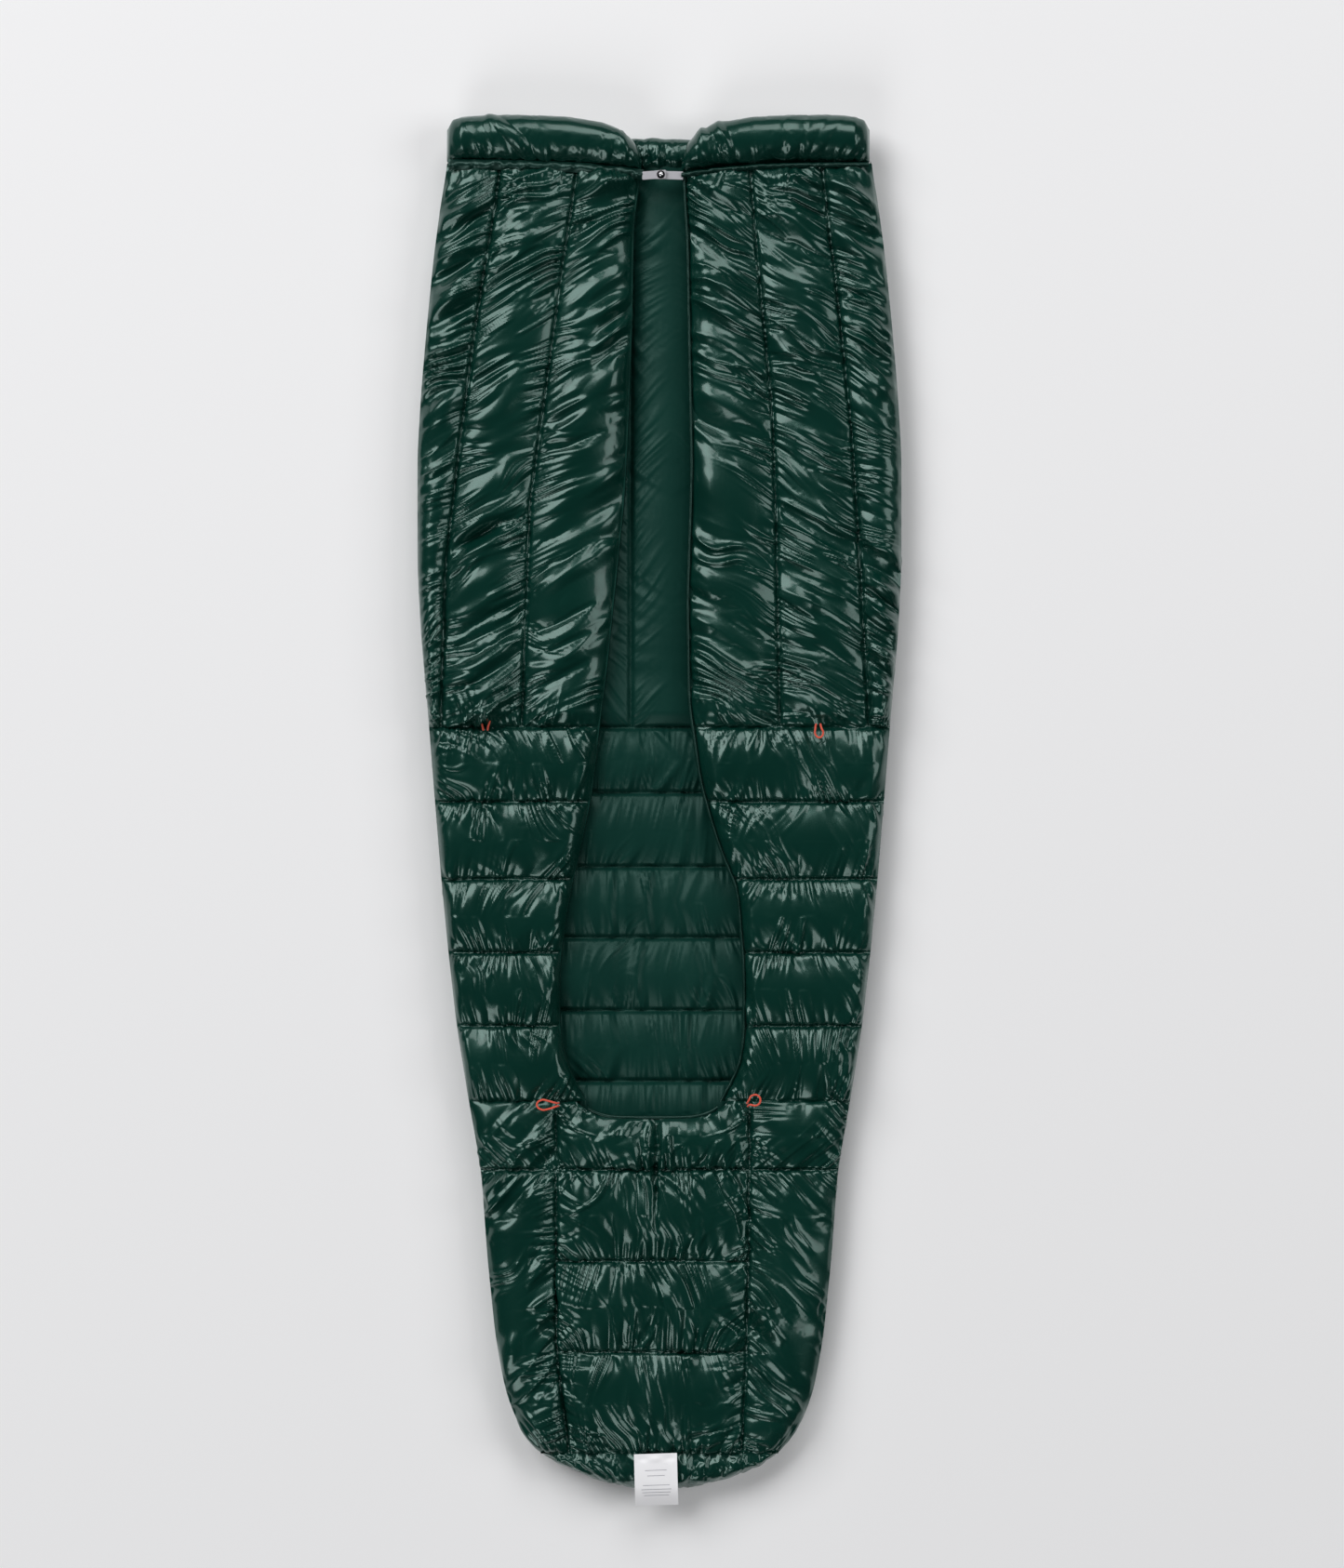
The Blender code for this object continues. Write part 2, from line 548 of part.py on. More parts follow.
def build_trim():
    crown_z = UPPER_BASE + CROWN_LOFT + 0.003
    waist_z = UPPER_BASE + SEAM_LOFT + 0.0125
    build_loop("loop_waist_left", (-0.239, MAIN_SEAM), (0.0, 1.0), 0.0045, 0.016, waist_z)
    build_loop("loop_waist_right", (0.219, MAIN_SEAM), (0.0, -1.0), 0.0030, 0.018, crown_z)
    build_loop("loop_foot_left", (-0.142, FOOT_TOP - 0.003), (-1.0, 0.0), 0.0030, 0.028, crown_z, 0.0075)
    build_loop("loop_foot_right", (0.125, FOOT_TOP), (1.0, 0.0), 0.0040, 0.0175, crown_z)
    half = LABEL_WIDTH / 2
    z = UPPER_BASE + SEAM_LOFT + 0.008
    top = []
    for y in (LABEL_ROOT_Y, LABEL_ROOT_Y - LABEL_LENGTH):
        top.append([(LABEL_X - half, y, z + LABEL_THICK), (LABEL_X + half, y, z + LABEL_THICK)])
    slab("care_label", "label_satin", top, lowered(top, LABEL_THICK), (LABEL_X, LABEL_ROOT_Y, z))


clear_scene()
build_cover()
build_flap(-1, LEFT_OUTER_SEAM, LEFT_INNER_SEAM, LEFT_EDGE, ROLL_WIDTH)
build_flap(1, RIGHT_OUTER_SEAM, RIGHT_INNER_SEAM, RIGHT_EDGE, BINDING_WIDTH)
build_foot()
build_snap()
build_trim()
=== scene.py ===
"""The camp quilt as it is sewn: glossy shell, satin lining, down chambers, loops, snap strap and label.

+Y points to the collar, +X to the right flap, +Z out of the open back. All sizes are in metres.
"""

import math

import bpy
import numpy as np
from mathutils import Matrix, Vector


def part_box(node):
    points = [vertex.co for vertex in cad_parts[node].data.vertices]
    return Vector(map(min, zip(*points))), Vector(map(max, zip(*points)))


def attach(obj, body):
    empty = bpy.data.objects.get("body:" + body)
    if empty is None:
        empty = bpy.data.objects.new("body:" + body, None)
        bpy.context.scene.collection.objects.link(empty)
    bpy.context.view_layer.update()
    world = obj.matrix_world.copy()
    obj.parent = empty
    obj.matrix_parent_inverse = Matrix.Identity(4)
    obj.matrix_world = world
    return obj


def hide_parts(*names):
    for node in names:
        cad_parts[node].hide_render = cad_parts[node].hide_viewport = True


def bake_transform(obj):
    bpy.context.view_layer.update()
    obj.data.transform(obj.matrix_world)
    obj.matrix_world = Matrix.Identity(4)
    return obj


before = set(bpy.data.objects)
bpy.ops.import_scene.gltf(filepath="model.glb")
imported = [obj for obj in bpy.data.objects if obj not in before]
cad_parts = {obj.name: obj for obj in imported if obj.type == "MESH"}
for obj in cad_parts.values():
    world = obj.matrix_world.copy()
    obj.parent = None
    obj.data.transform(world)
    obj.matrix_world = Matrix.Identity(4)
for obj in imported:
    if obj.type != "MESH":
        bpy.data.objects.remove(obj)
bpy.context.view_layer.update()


# ---------------------------------------------------------------- studio
# A plain pale floor under soft boxes: the large one stands beyond the collar on the left,
# weaker ones lift the shadows from the foot and from the right. The camera looks straight down.

FLOOR_SIZE = 26.0
FRAME_HEIGHT = 2.158
LENS = 85.0
SENSOR = 36.0
CAMERA_X = 0.0173
CAMERA_Y = 0.0363
CAMERA_Z = 0.05 + FRAME_HEIGHT * LENS / SENSOR

floor_mesh = bpy.data.meshes.new("floor")
half_floor = FLOOR_SIZE / 2
floor_corners = [(x * half_floor, y * half_floor, 0) for x, y in ((-1, -1), (1, -1), (1, 1), (-1, 1))]
floor_mesh.from_pydata(floor_corners, [], [(0, 1, 2, 3)])
floor = bpy.data.objects.new("floor", floor_mesh)
bpy.context.scene.collection.objects.link(floor)
floor_paint = bpy.data.materials.new("floor_paint")
floor_paint.use_nodes = True
floor_shader = floor_paint.node_tree.nodes["Principled BSDF"]
floor_shader.inputs["Base Color"].default_value = (0.93, 0.93, 0.94, 1.0)
floor_shader.inputs["Roughness"].default_value = 0.9
floor_shader.inputs["Specular IOR Level"].default_value = 0.1
floor_mesh.materials.append(floor_paint)

SOFT_BOXES = [
    ("key_light", (-5.4, 5.6, 7.5), 6.6, 700.0),
    ("foot_light", (-3.6, -7.8, 6.0), 5.0, 280.0),
    ("collar_light", (1.6, 7.6, 6.6), 4.8, 285.0),
    ("right_light", (7.8, 0.9, 6.6), 5.4, 255.0),
]
for box_name, place, size, power in SOFT_BOXES:
    lamp = bpy.data.lights.new(box_name, "AREA")
    lamp.shape = "SQUARE"
    lamp.size = size
    lamp.energy = power
    soft_box = bpy.data.objects.new(box_name, lamp)
    soft_box.location = place
    soft_box.rotation_euler = (-Vector(place)).to_track_quat("-Z", "Y").to_euler()
    bpy.context.scene.collection.objects.link(soft_box)

sky = bpy.data.worlds.new("studio_air")
bpy.context.scene.world = sky
sky.use_nodes = True
sky.node_tree.nodes["Background"].inputs["Color"].default_value = (0.95, 0.97, 1.0, 1.0)
sky.node_tree.nodes["Background"].inputs["Strength"].default_value = 0.025
bpy.context.scene.view_settings.view_transform = "Standard"

camera_data = bpy.data.cameras.new("camera")
camera_data.lens = LENS
camera_data.sensor_width = SENSOR
camera = bpy.data.objects.new("camera", camera_data)
camera.location = (CAMERA_X, CAMERA_Y, CAMERA_Z)
bpy.context.scene.collection.objects.link(camera)
bpy.context.scene.camera = camera


# ---------------------------------------------------------------- lower layer: lining
# Satin nylon on the inside of the lower layer, seen through the slit and the keyhole.
# It is stitched in long chambers at the torso and in cross rows below the waist, and gathers at each seam.

MIDDLE_Y = 0.0075          # the pattern's middle, from the origin
COLLAR_SEAM = 0.888
MAIN_SEAM = 0.107
OUTLINE = [
    (0.949, 0.291), (0.888, 0.291), (0.831, 0.301), (0.756, 0.311), (0.667, 0.320), (0.575, 0.328),
    (0.486, 0.3335), (0.327, 0.3335), (0.237, 0.329), (0.125, 0.319), (0.012, 0.310), (-0.099, 0.301),
    (-0.202, 0.291), (-0.300, 0.280), (-0.395, 0.265), (-0.502, 0.246), (-0.625, 0.237),
    (-0.733, 0.226), (-0.810, 0.212), (-0.863, 0.191), (-0.893, 0.166), (-0.908, 0.149), (-0.925, 0.122),
]
LINING_LONG_SEAMS = [-0.283, -0.161, -0.040, 0.075, 0.180, 0.283]
LINING_CROSS_SEAMS = [MAIN_SEAM, 0.017, -0.086, -0.184, -0.285, -0.383, -0.470]
LINING_SEAM_Z = 0.011
LINING_EDGE_Z = 0.033
LINING_FINE_STEP = 0.0042
LINING_COARSE_STEP = 0.009
LINING_HALF = 0.3200       # from the middle to the edge, at the widest
LINING_PUFF = 0.0135

random = np.random.default_rng(20)


SMOOTHING = ((-0.030, 0.1), (-0.015, 0.2), (0.0, 0.4), (0.015, 0.2), (0.030, 0.1))


def smooth_line(table):
    """The pattern line through a table of (y, x), as a function of y."""
    ys = np.array([y for y, x in table])[::-1]
    xs = np.array([x for y, x in table])[::-1]

    def line(y):
        y = np.asarray(y, float)
        return sum(np.interp(y + shift, ys, xs) * weight for shift, weight in SMOOTHING)
    return line


half_width = smooth_line(OUTLINE)


def wander(at, pitch):
    """A smooth random line with a value near 0 and about one turn in each pitch."""
    t = np.asarray(at, float) / pitch
    t = t - t.min() + 1.0
    knots = random.standard_normal(int(t.max()) + 5)
    i = np.floor(t).astype(int)
    f = t - i
    a, b, c, d = knots[i - 1], knots[i], knots[i + 1], knots[i + 2]
    square, cube = 2 * a - 5 * b + 4 * c - d, 3 * b - a - 3 * c + d
    return 0.5 * (2 * b + (c - a) * f + square * f ** 2 + cube * f ** 3)


def wander_2d(x, y, pitch_x, pitch_y):
    """A smooth random field over x and y."""
    u = x / pitch_x
    v = y / pitch_y
    u = u - u.min() + 1.0
    v = v - v.min() + 1.0
    knots = random.standard_normal((int(v.max()) + 4, int(u.max()) + 4))
    i, j = np.floor(v).astype(int), np.floor(u).astype(int)
    f, g = v - i, u - j
    f, g = f * f * (3 - 2 * f), g * g * (3 - 2 * g)
    top = knots[i, j] * (1 - g) + knots[i, j + 1] * g
    low = knots[i + 1, j] * (1 - g) + knots[i + 1, j + 1] * g
    return top * (1 - f) + low * f


def divided(marks, step):
    """Points from mark to mark, about a step apart, with every mark among them, and the marks' indices."""
    points, seams = [marks[0]], [0]
    for a, b in zip(marks, marks[1:]):
        cells = max(3, int(round(abs(b - a) / step)))
        points += [a + (b - a) * k / cells for k in range(1, cells + 1)]
        seams.append(len(points) - 1)
    return np.array(points), seams


def share_between(count, seams):
    """For each index, its place from 0 to 1 between the seams beside it."""
    share = np.zeros(count)
    for a, b in zip(seams, seams[1:]):
        share[a:b + 1] = np.linspace(0, 1, b - a + 1)
    return share


def distance_to(values, seams):
    """How far each value is from the nearest seam value."""
    return np.min([np.abs(values - s) for s in seams], axis=0)


def pattern_of(points, along, across, turn):
    """The flat pattern of a sheet, with cloth to spare along a direction and across it."""
    flat = points * (1.0, 1.0, 0.0)
    ahead = np.array([math.cos(turn), math.sin(turn), 0.0])
    aside = np.array([-math.sin(turn), math.cos(turn), 0.0])
    return flat + (flat @ ahead)[..., None] * ahead * along + (flat @ aside)[..., None] * aside * across


def grid_faces(rows, columns, flip=False):
    """The square faces between the points of a grid."""
    index = np.arange(rows * columns).reshape(rows, columns)
    corners = [index[:-1, :-1], index[1:, :-1], index[1:, 1:], index[:-1, 1:]]
    return np.stack(corners[::-1] if flip else corners, -1).reshape(-1, 4)


def cloth_sheet(points, pinned, pressure, pattern=None, grow=0.0, frames=24, stiffness=15.0, bending=0.05):
    """Blows a sewn sheet up: the pinned stitches hold, the cloth between them has some to spare."""
    rows, columns = points.shape[:2]
    mesh = bpy.data.meshes.new("cloth")
    mesh.from_pydata(points.reshape(-1, 3).tolist(), [], grid_faces(rows, columns).tolist())
    sheet = bpy.data.objects.new("cloth", mesh)
    bpy.context.scene.collection.objects.link(sheet)
    stitches = sheet.vertex_groups.new(name="stitches")
    stitches.add(np.flatnonzero(pinned.ravel()).tolist(), 1.0, "REPLACE")
    cloth = sheet.modifiers.new("Cloth", "CLOTH")
    settings = cloth.settings
    if pattern is not None:
        sheet.shape_key_add(name="sewn")
        cut = sheet.shape_key_add(name="cut")
        cut.data.foreach_set("co", pattern.ravel())
        settings.rest_shape_key = cut
    settings.vertex_group_mass = "stitches"
    settings.quality = 5
    settings.mass = 0.05
    settings.tension_stiffness = stiffness
    settings.compression_stiffness = stiffness
    settings.shear_stiffness = stiffness * 0.5
    settings.bending_stiffness = bending
    settings.tension_damping = 2.0
    settings.compression_damping = 2.0
    settings.shear_damping = 2.0
    settings.air_damping = 3.0
    settings.use_pressure = True
    settings.uniform_pressure_force = pressure
    settings.shrink_min = -grow
    settings.shrink_max = -grow
    settings.effector_weights.gravity = 0.0
    cloth.collision_settings.use_collision = False
    cloth.collision_settings.use_self_collision = False
    cloth.point_cache.frame_start = 1
    cloth.point_cache.frame_end = frames
    scene = bpy.context.scene
    for number in range(1, frames + 1):
        scene.frame_set(number)
    settled = sheet.evaluated_get(bpy.context.evaluated_depsgraph_get())
    places = np.zeros(rows * columns * 3)
    settled.data.vertices.foreach_get("co", places)
    bpy.data.objects.remove(sheet)
    bpy.data.meshes.remove(mesh)
    scene.frame_set(1)
    return places.reshape(rows, columns, 3)


def doubled(values):
    """A grid with a smooth point added between each two, both ways."""
    for axis in (0, 1):
        v = np.moveaxis(values, axis, 0)
        inner = (-v[:-3] + 9 * v[1:-2] + 9 * v[2:-1] - v[3:]) / 16
        between = np.concatenate([(v[:1] + v[1:2]) / 2, inner, (v[-2:-1] + v[-1:]) / 2])
        longer = np.empty((2 * len(v) - 1, *v.shape[1:]))
        longer[::2], longer[1::2] = v, between
        values = np.moveaxis(longer, 0, axis)
    return values


def normals_of(points):
    """The outward direction of the sheet at each point of its grid."""
    across = np.gradient(points, axis=1)
    down = np.gradient(points, axis=0)
    normal = np.cross(down, across)
    return normal / np.maximum(np.linalg.norm(normal, axis=2, keepdims=True), 1e-12)


def sheet_piece(name, points, material, flip=False):
    """A smooth sheet of cloth from a grid of points; its outer side is up unless it is flipped."""
    rows, columns = points.shape[:2]
    squares = grid_faces(rows, columns, flip)
    mesh = bpy.data.meshes.new(name)
    mesh.vertices.add(rows * columns)
    mesh.vertices.foreach_set("co", (points.reshape(-1, 3) + (0.0, MIDDLE_Y, 0.0)).ravel())
    mesh.loops.add(squares.size)
    mesh.loops.foreach_set("vertex_index", squares.ravel().astype(np.int32))
    mesh.polygons.add(len(squares))
    mesh.polygons.foreach_set("loop_start", np.arange(0, squares.size, 4, dtype=np.int32))
    mesh.update(calc_edges=True)
    mesh.validate()
    mesh.shade_smooth()
    mesh.materials.append(material)
    piece = bpy.data.objects.new(name, mesh)
    bpy.context.scene.collection.objects.link(piece)
    return piece


def chamber_shift(values, seams, halves=False):
    """A large step for each chamber (or each half of one), so that no two chambers gather alike."""
    order = np.sort(np.asarray(seams, float))
    number = np.clip(np.searchsorted(order, values), 1, len(order) - 1)
    shift = number * 2.0
    if halves:
        shift = shift + (values > (order[number - 1] + order[number]) / 2)
    return shift * 0.73


GROOVE_WIDTH = 0.0026


def groove(away, depth, width=GROOVE_WIDTH):
    """How far a stitch line pulls the cloth down at a distance from it."""
    return depth * np.exp(-(away / width) ** 2)


def gathers(along, away, pitch, height, reach, slant=0.5):
    """Small folds that run from a seam into the chamber, closer together and higher near the stitches."""
    lean = wander(along, 0.09) * slant
    ridge = wander(along + away * lean, pitch)
    swell = 0.6 + 0.4 * np.tanh(wander(along, 0.045))
    rise = np.clip(away / 0.004, 0, 1)
    return height * ridge * swell * rise * np.exp(-away / (reach * (0.6 + 0.5 * np.abs(swell))))


def fingers(along, away, pitch, height, reach, lean):
    """Finger-like gathers that stand out from a seam: round ridges of uneven width, length and height."""
    foot = along - away * (lean + 0.30 * wander(along, 0.06))
    phase = foot / pitch + 0.75 * wander(foot, 2.0 * pitch)
    number = np.floor(phase).astype(int)
    number -= number.min()
    chance = random.random((3, number.max() + 1))
    tall = 0.25 + 1.15 * chance[0, number]
    length = reach * (0.35 + 1.0 * chance[1, number])
    ridge = tall * np.abs(np.sin(math.pi * phase)) ** 0.75 * np.exp(-(away / length) ** 3)
    valley = 0.45 * np.exp(-(away / (0.8 * reach)) ** 2)
    strong = 0.75 + 0.40 * np.tanh(wander(along, 0.045))
    return height * strong * (1.6 * ridge - valley) * np.clip(away / 0.003, 0, 1)


def creases(across, along, pitch, height, long, wide, cover=0.2):
    """Longer creases with sharp crests that run along a direction, in patches."""
    bent = across + 0.30 * pitch * wander_2d(along, across, long * 0.6, wide)
    phase = math.pi * (bent / pitch + 0.7 * wander(bent, 2.3 * pitch))
    patch = np.clip(wander_2d(along, across, long, wide) * 0.9 + cover, 0, 1.4)
    return height * (1.0 - 1.9 * np.abs(np.sin(phase)) ** 0.8) * patch


class Finish:
    """A procedural material, whose textures follow the piece's own coordinates."""

    def __init__(self, name, uniform):
        self.material = bpy.data.materials.new(name)
        self.material.use_nodes = True
        self.nodes, self.links = self.material.node_tree.nodes, self.material.node_tree.links
        self.shader = self.nodes["Principled BSDF"]
        self.place = self.nodes.new("ShaderNodeTexCoord")
        self.under = None
        for socket, value in uniform.items():
            self.shader.inputs[socket].default_value = value

    def texture(self, kind, direction=None, **sockets):
        node = self.nodes.new(f"ShaderNodeTex{kind}")
        if direction:
            node.bands_direction = direction
        for socket, value in sockets.items():
            node.inputs[socket].default_value = value
        self.links.new(self.place.outputs["Object"], node.inputs["Vector"])
        return node

    def colour(self, driver, low, high):
        tone = self.nodes.new("ShaderNodeMix")
        tone.data_type = "RGBA"
        tone.inputs["A"].default_value = (*low, 1.0)
        tone.inputs["B"].default_value = (*high, 1.0)
        self.links.new(driver.outputs["Fac"], tone.inputs["Factor"])
        self.links.new(tone.outputs["Result"], self.shader.inputs["Base Color"])

    def roughness(self, driver, low, high):
        spread = self.nodes.new("ShaderNodeMapRange")
        spread.inputs["To Min"].default_value = low
        spread.inputs["To Max"].default_value = high
        self.links.new(driver.outputs["Fac"], spread.inputs["Value"])
        self.links.new(spread.outputs["Result"], self.shader.inputs["Roughness"])

    def relief(self, height, strength, distance):
        """Adds a bump over any earlier one."""
        bump = self.nodes.new("ShaderNodeBump")
        bump.inputs["Strength"].default_value = strength
        bump.inputs["Distance"].default_value = distance
        self.links.new(height, bump.inputs["Height"])
        if self.under:
            self.links.new(self.under.outputs["Normal"], bump.inputs["Normal"])
        self.links.new(bump.outputs["Normal"], self.shader.inputs["Normal"])
        self.under = bump


def nylon(name, colour, shade, roughness, crumpled, coat=0.0, shine=0.5):
    """Woven nylon: a fine plain weave, with soft changes of colour and gloss over the cloth."""
    finish = Finish(name, {
        "Sheen Weight": 0.0, "Specular IOR Level": shine, "Specular Tint": (0.62, 1.0, 0.90, 1.0),
        "Coat Weight": coat, "Coat Tint": (0.80, 1.0, 0.94, 1.0), "Coat Roughness": 0.11})
    patches = finish.texture("Noise", Scale=9.0, Detail=4.0)
    finish.colour(patches, shade, colour)
    finish.roughness(patches, roughness - 0.05, roughness + 0.06)
    weave = finish.nodes.new("ShaderNodeMath")
    weave.operation = "MULTIPLY"
    for socket, direction in enumerate("XY"):
        threads = finish.texture("Wave", direction, Scale=420.0, Distortion=0.6)
        finish.links.new(threads.outputs["Fac"], weave.inputs[socket])
    crumple = finish.texture("Noise", Scale=85.0, Detail=3.0)
    finish.relief(weave.outputs["Value"], 0.08, 0.00008)
    finish.relief(crumple.outputs["Fac"], crumpled, 0.0012)
    return finish.material


def dress(piece, slot, fill, *nodes):
    """Hides the plain solids that a piece stands for; the piece, its slot (what it is made of) and its fill
    are not used.
    """
    if nodes:
        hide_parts(*nodes)


lining_cloth = nylon("lining_satin", (0.0042, 0.040, 0.030), (0.0026, 0.026, 0.0200), 0.40, 0.12, shine=0.22)

lining_rows, _ = divided([COLLAR_SEAM - 0.004, MAIN_SEAM], LINING_FINE_STEP)
cross_rows, cross_row_seams = divided(LINING_CROSS_SEAMS, LINING_FINE_STEP)
row_y = np.concatenate([lining_rows, cross_rows[1:]])
row_seams = [0] + [len(lining_rows) - 1 + s for s in cross_row_seams]
torso = row_y >= MAIN_SEAM - 1e-9
coarse_left, left_marks = divided([-LINING_HALF, *LINING_LONG_SEAMS[:2]], LINING_COARSE_STEP)
fine_middle, middle_marks = divided(LINING_LONG_SEAMS[1:5], LINING_FINE_STEP)
coarse_right, right_marks = divided([*LINING_LONG_SEAMS[4:], LINING_HALF], LINING_COARSE_STEP)
column_x = np.concatenate([coarse_left, fine_middle[1:], coarse_right[1:]])
column_seams = left_marks + [left_marks[-1] + m for m in middle_marks[1:]]
column_seams += [column_seams[-1] + m for m in right_marks[1:]]
rows, columns = len(row_y), len(column_x)
edge_x = half_width(row_y) - 0.004
stretch = edge_x / LINING_HALF
outer_part = np.clip((np.abs(column_x) - 0.18) / 0.14, 0, 1)
x = column_x[None, :] * (1 + (stretch[:, None] - 1) * outer_part[None, :])
y = np.repeat(row_y[:, None], columns, 1)
across_share = np.repeat(share_between(columns, column_seams)[None, :], rows, 0)
down_share = np.repeat(share_between(rows, row_seams)[:, None], columns, 1)
puff = np.where(
    torso[:, None],
    np.sin(np.pi * across_share) ** 0.55 * np.clip((y - MAIN_SEAM) / 0.02, 0, 1) ** 0.5,
    np.sin(np.pi * down_share) ** 0.6)
rim = np.clip((np.abs(x) / edge_x[:, None] - 0.86) / 0.14, 0, 1)
z = LINING_SEAM_Z + LINING_PUFF * puff * (1 - rim) + (LINING_EDGE_Z - LINING_SEAM_Z) * rim ** 1.5
cross_away = distance_to(y, LINING_CROSS_SEAMS)
long_away = distance_to(x, LINING_LONG_SEAMS)
row_shift = chamber_shift(y, LINING_CROSS_SEAMS)
folds = gathers(x + row_shift, cross_away, 0.0110, 0.0034, 0.060, 0.35) * (y < MAIN_SEAM)
column_shift = chamber_shift(x, LINING_LONG_SEAMS)
folds += gathers(y + column_shift, long_away, 0.013, 0.0022, 0.024, 0.8) * (y > MAIN_SEAM)
points = np.stack([x, y, z + folds * (puff > 0.02)], -1)
pinned = np.zeros((rows, columns), bool)
pinned[:, [0, -1]] = True
pinned[row_seams, :] = True
pinned[np.ix_(torso, np.array(column_seams))] = True
pattern = pattern_of(points, 0.085, 0.030, 0.0)
lining_points = doubled(cloth_sheet(points, pinned, 5.0, pattern, frames=18, bending=0.02))
y, x, z = lining_points[..., 1], lining_points[..., 0], lining_points[..., 2]
near = distance_to(y, LINING_CROSS_SEAMS)
near_long = np.where(y > MAIN_SEAM, distance_to(x, LINING_LONG_SEAMS), 1.0)
row_shift = chamber_shift(y, LINING_CROSS_SEAMS, True)
column_shift = chamber_shift(x, LINING_LONG_SEAMS)
z -= groove(near, 0.0016, 0.0028) * (y < MAIN_SEAM + 0.01)
z -= groove(near_long, 0.0014, 0.0028)
z += np.where(y < MAIN_SEAM, fingers(x + row_shift, near, 0.0080, 0.0017, 0.036, 0.0), 0.0)
z += fingers(y + column_shift, near_long, 0.011, 0.0016, 0.030, 0.9)
lining_points[..., 2] = np.clip(z, 0.004, 0.036)
cover_inside = sheet_piece("cover_inside", lining_points, lining_cloth)
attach(cover_inside, "quilt")
dress(cover_inside, "lining_fabric", 0.7, "cover_lining", *[f"cover_down_long_{i}" for i in range(1, 5)],
      *[f"cover_down_cross_{i}" for i in range(1, 8)])


# ---------------------------------------------------------------- underside and sides
# The face of the quilt: glossy shell that lies on the ground, rounds up at both long edges and closes the
# foot. The side wrap bends where a flap folds back; here its foot part goes with the quilt, its other parts
# with no body.

FOLD_Z = 0.042             # where a flap's cloth takes over from the side wrap
SIDE_STEP = 0.005

shell_cloth = nylon("shell_gloss", (0.0020, 0.034, 0.0250), (0.0009, 0.019, 0.0138), 0.26, 0.12, coat=0.42)

UNDER_ROWS = [COLLAR_SEAM, MAIN_SEAM, 0.0045, -0.102, -0.203, -0.304, -0.408, -0.502, -0.628, -0.753, -0.893]
under_y, under_seams = divided(UNDER_ROWS, 0.010)
under_share = np.linspace(-1, 1, 61)
x = half_width(under_y)[:, None] * under_share[None, :] * 0.985
y = np.repeat(under_y[:, None], 61, 1)
row_gap = distance_to(y, under_y[under_seams])
edge_rise = 0.004 * np.clip((np.abs(under_share)[None, :] - 0.93) / 0.07, 0, 1) ** 2
z = 0.0012 + groove(row_gap, 0.0035, 0.007) + edge_rise
under_points = np.stack([x, y, z + 0.0006 * np.abs(wander_2d(x, y, 0.02, 0.02))], -1)
underside = sheet_piece("underside", under_points, shell_cloth, flip=True)
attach(underside, "quilt")
dress(underside, "shell_fabric", 0.6, "cover_shell")


def side_sheet(name, side, top_y, low_y, inner=False):
    """The rounded side from the ground to the fold, between two levels; the inner one is its lining."""
    low_z, top_z, inset = (0.016, FOLD_Z - 0.0015, 0.0045) if inner else (0.0030, FOLD_Z, 0.0)
    levels, _ = divided([top_y, low_y], SIDE_STEP)
    turn = np.linspace(0, 1, 15)
    height = low_z + (top_z - low_z) * turn
    bulge = np.sqrt(np.clip(1 - ((height - 0.034) / 0.038) ** 2, 0, 1))
    width = half_width(levels)
    x = side * (width[:, None] - 0.0085 - inset + 0.0080 * bulge[None, :])
    y = np.repeat(levels[:, None], len(turn), 1)
    z = np.repeat(height[None, :], len(levels), 0)
    crease = wander_2d(y + 0.4 * z, z, 0.011, 0.03) * 0.0012
    seams = under_y[under_seams[1:]]
    crease -= groove(distance_to(y, seams), 0.0030, 0.006)
    crease += gathers(y, distance_to(y, seams), 0.009, 0.0010, 0.02, 0.0) * 0.6
    crease *= np.sin(np.pi * turn)[None, :]
    points = np.stack([x + side * crease, y, z], -1)
    return sheet_piece(name, points, lining_cloth if inner else shell_cloth, flip=(side < 0) != inner)


FLAP_LOW = -0.408
for side, word in ((-1, "left"), (1, "right")):
    for inner in (False, True):
        layer, slot = ("lining", "lining_fabric") if inner else ("side", "shell_fabric")
        upper = side_sheet(f"{word}_{layer}_upper", side, COLLAR_SEAM, MAIN_SEAM, inner)
        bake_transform(upper)
        dress(upper, slot, 0.6, *([] if inner else ["side_wrap"]))
        lower = side_sheet(f"{word}_{layer}_lower", side, MAIN_SEAM, FLAP_LOW, inner)
        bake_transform(lower)
        dress(lower, slot, 0.6, *([] if inner else [f"cover_down_side_{word}"]))
    foot = side_sheet(f"{word}_side_foot", side, FLAP_LOW, -0.893)
    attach(foot, "quilt")
    dress(foot, "shell_fabric", 0.6)


# ---------------------------------------------------------------- flaps
# Two back panels of glossy shell over down. Each has three long chambers above the main seam and five cross
# rows below it. The cloth is cut longer than its seams, so it gathers there and creases across the chambers.

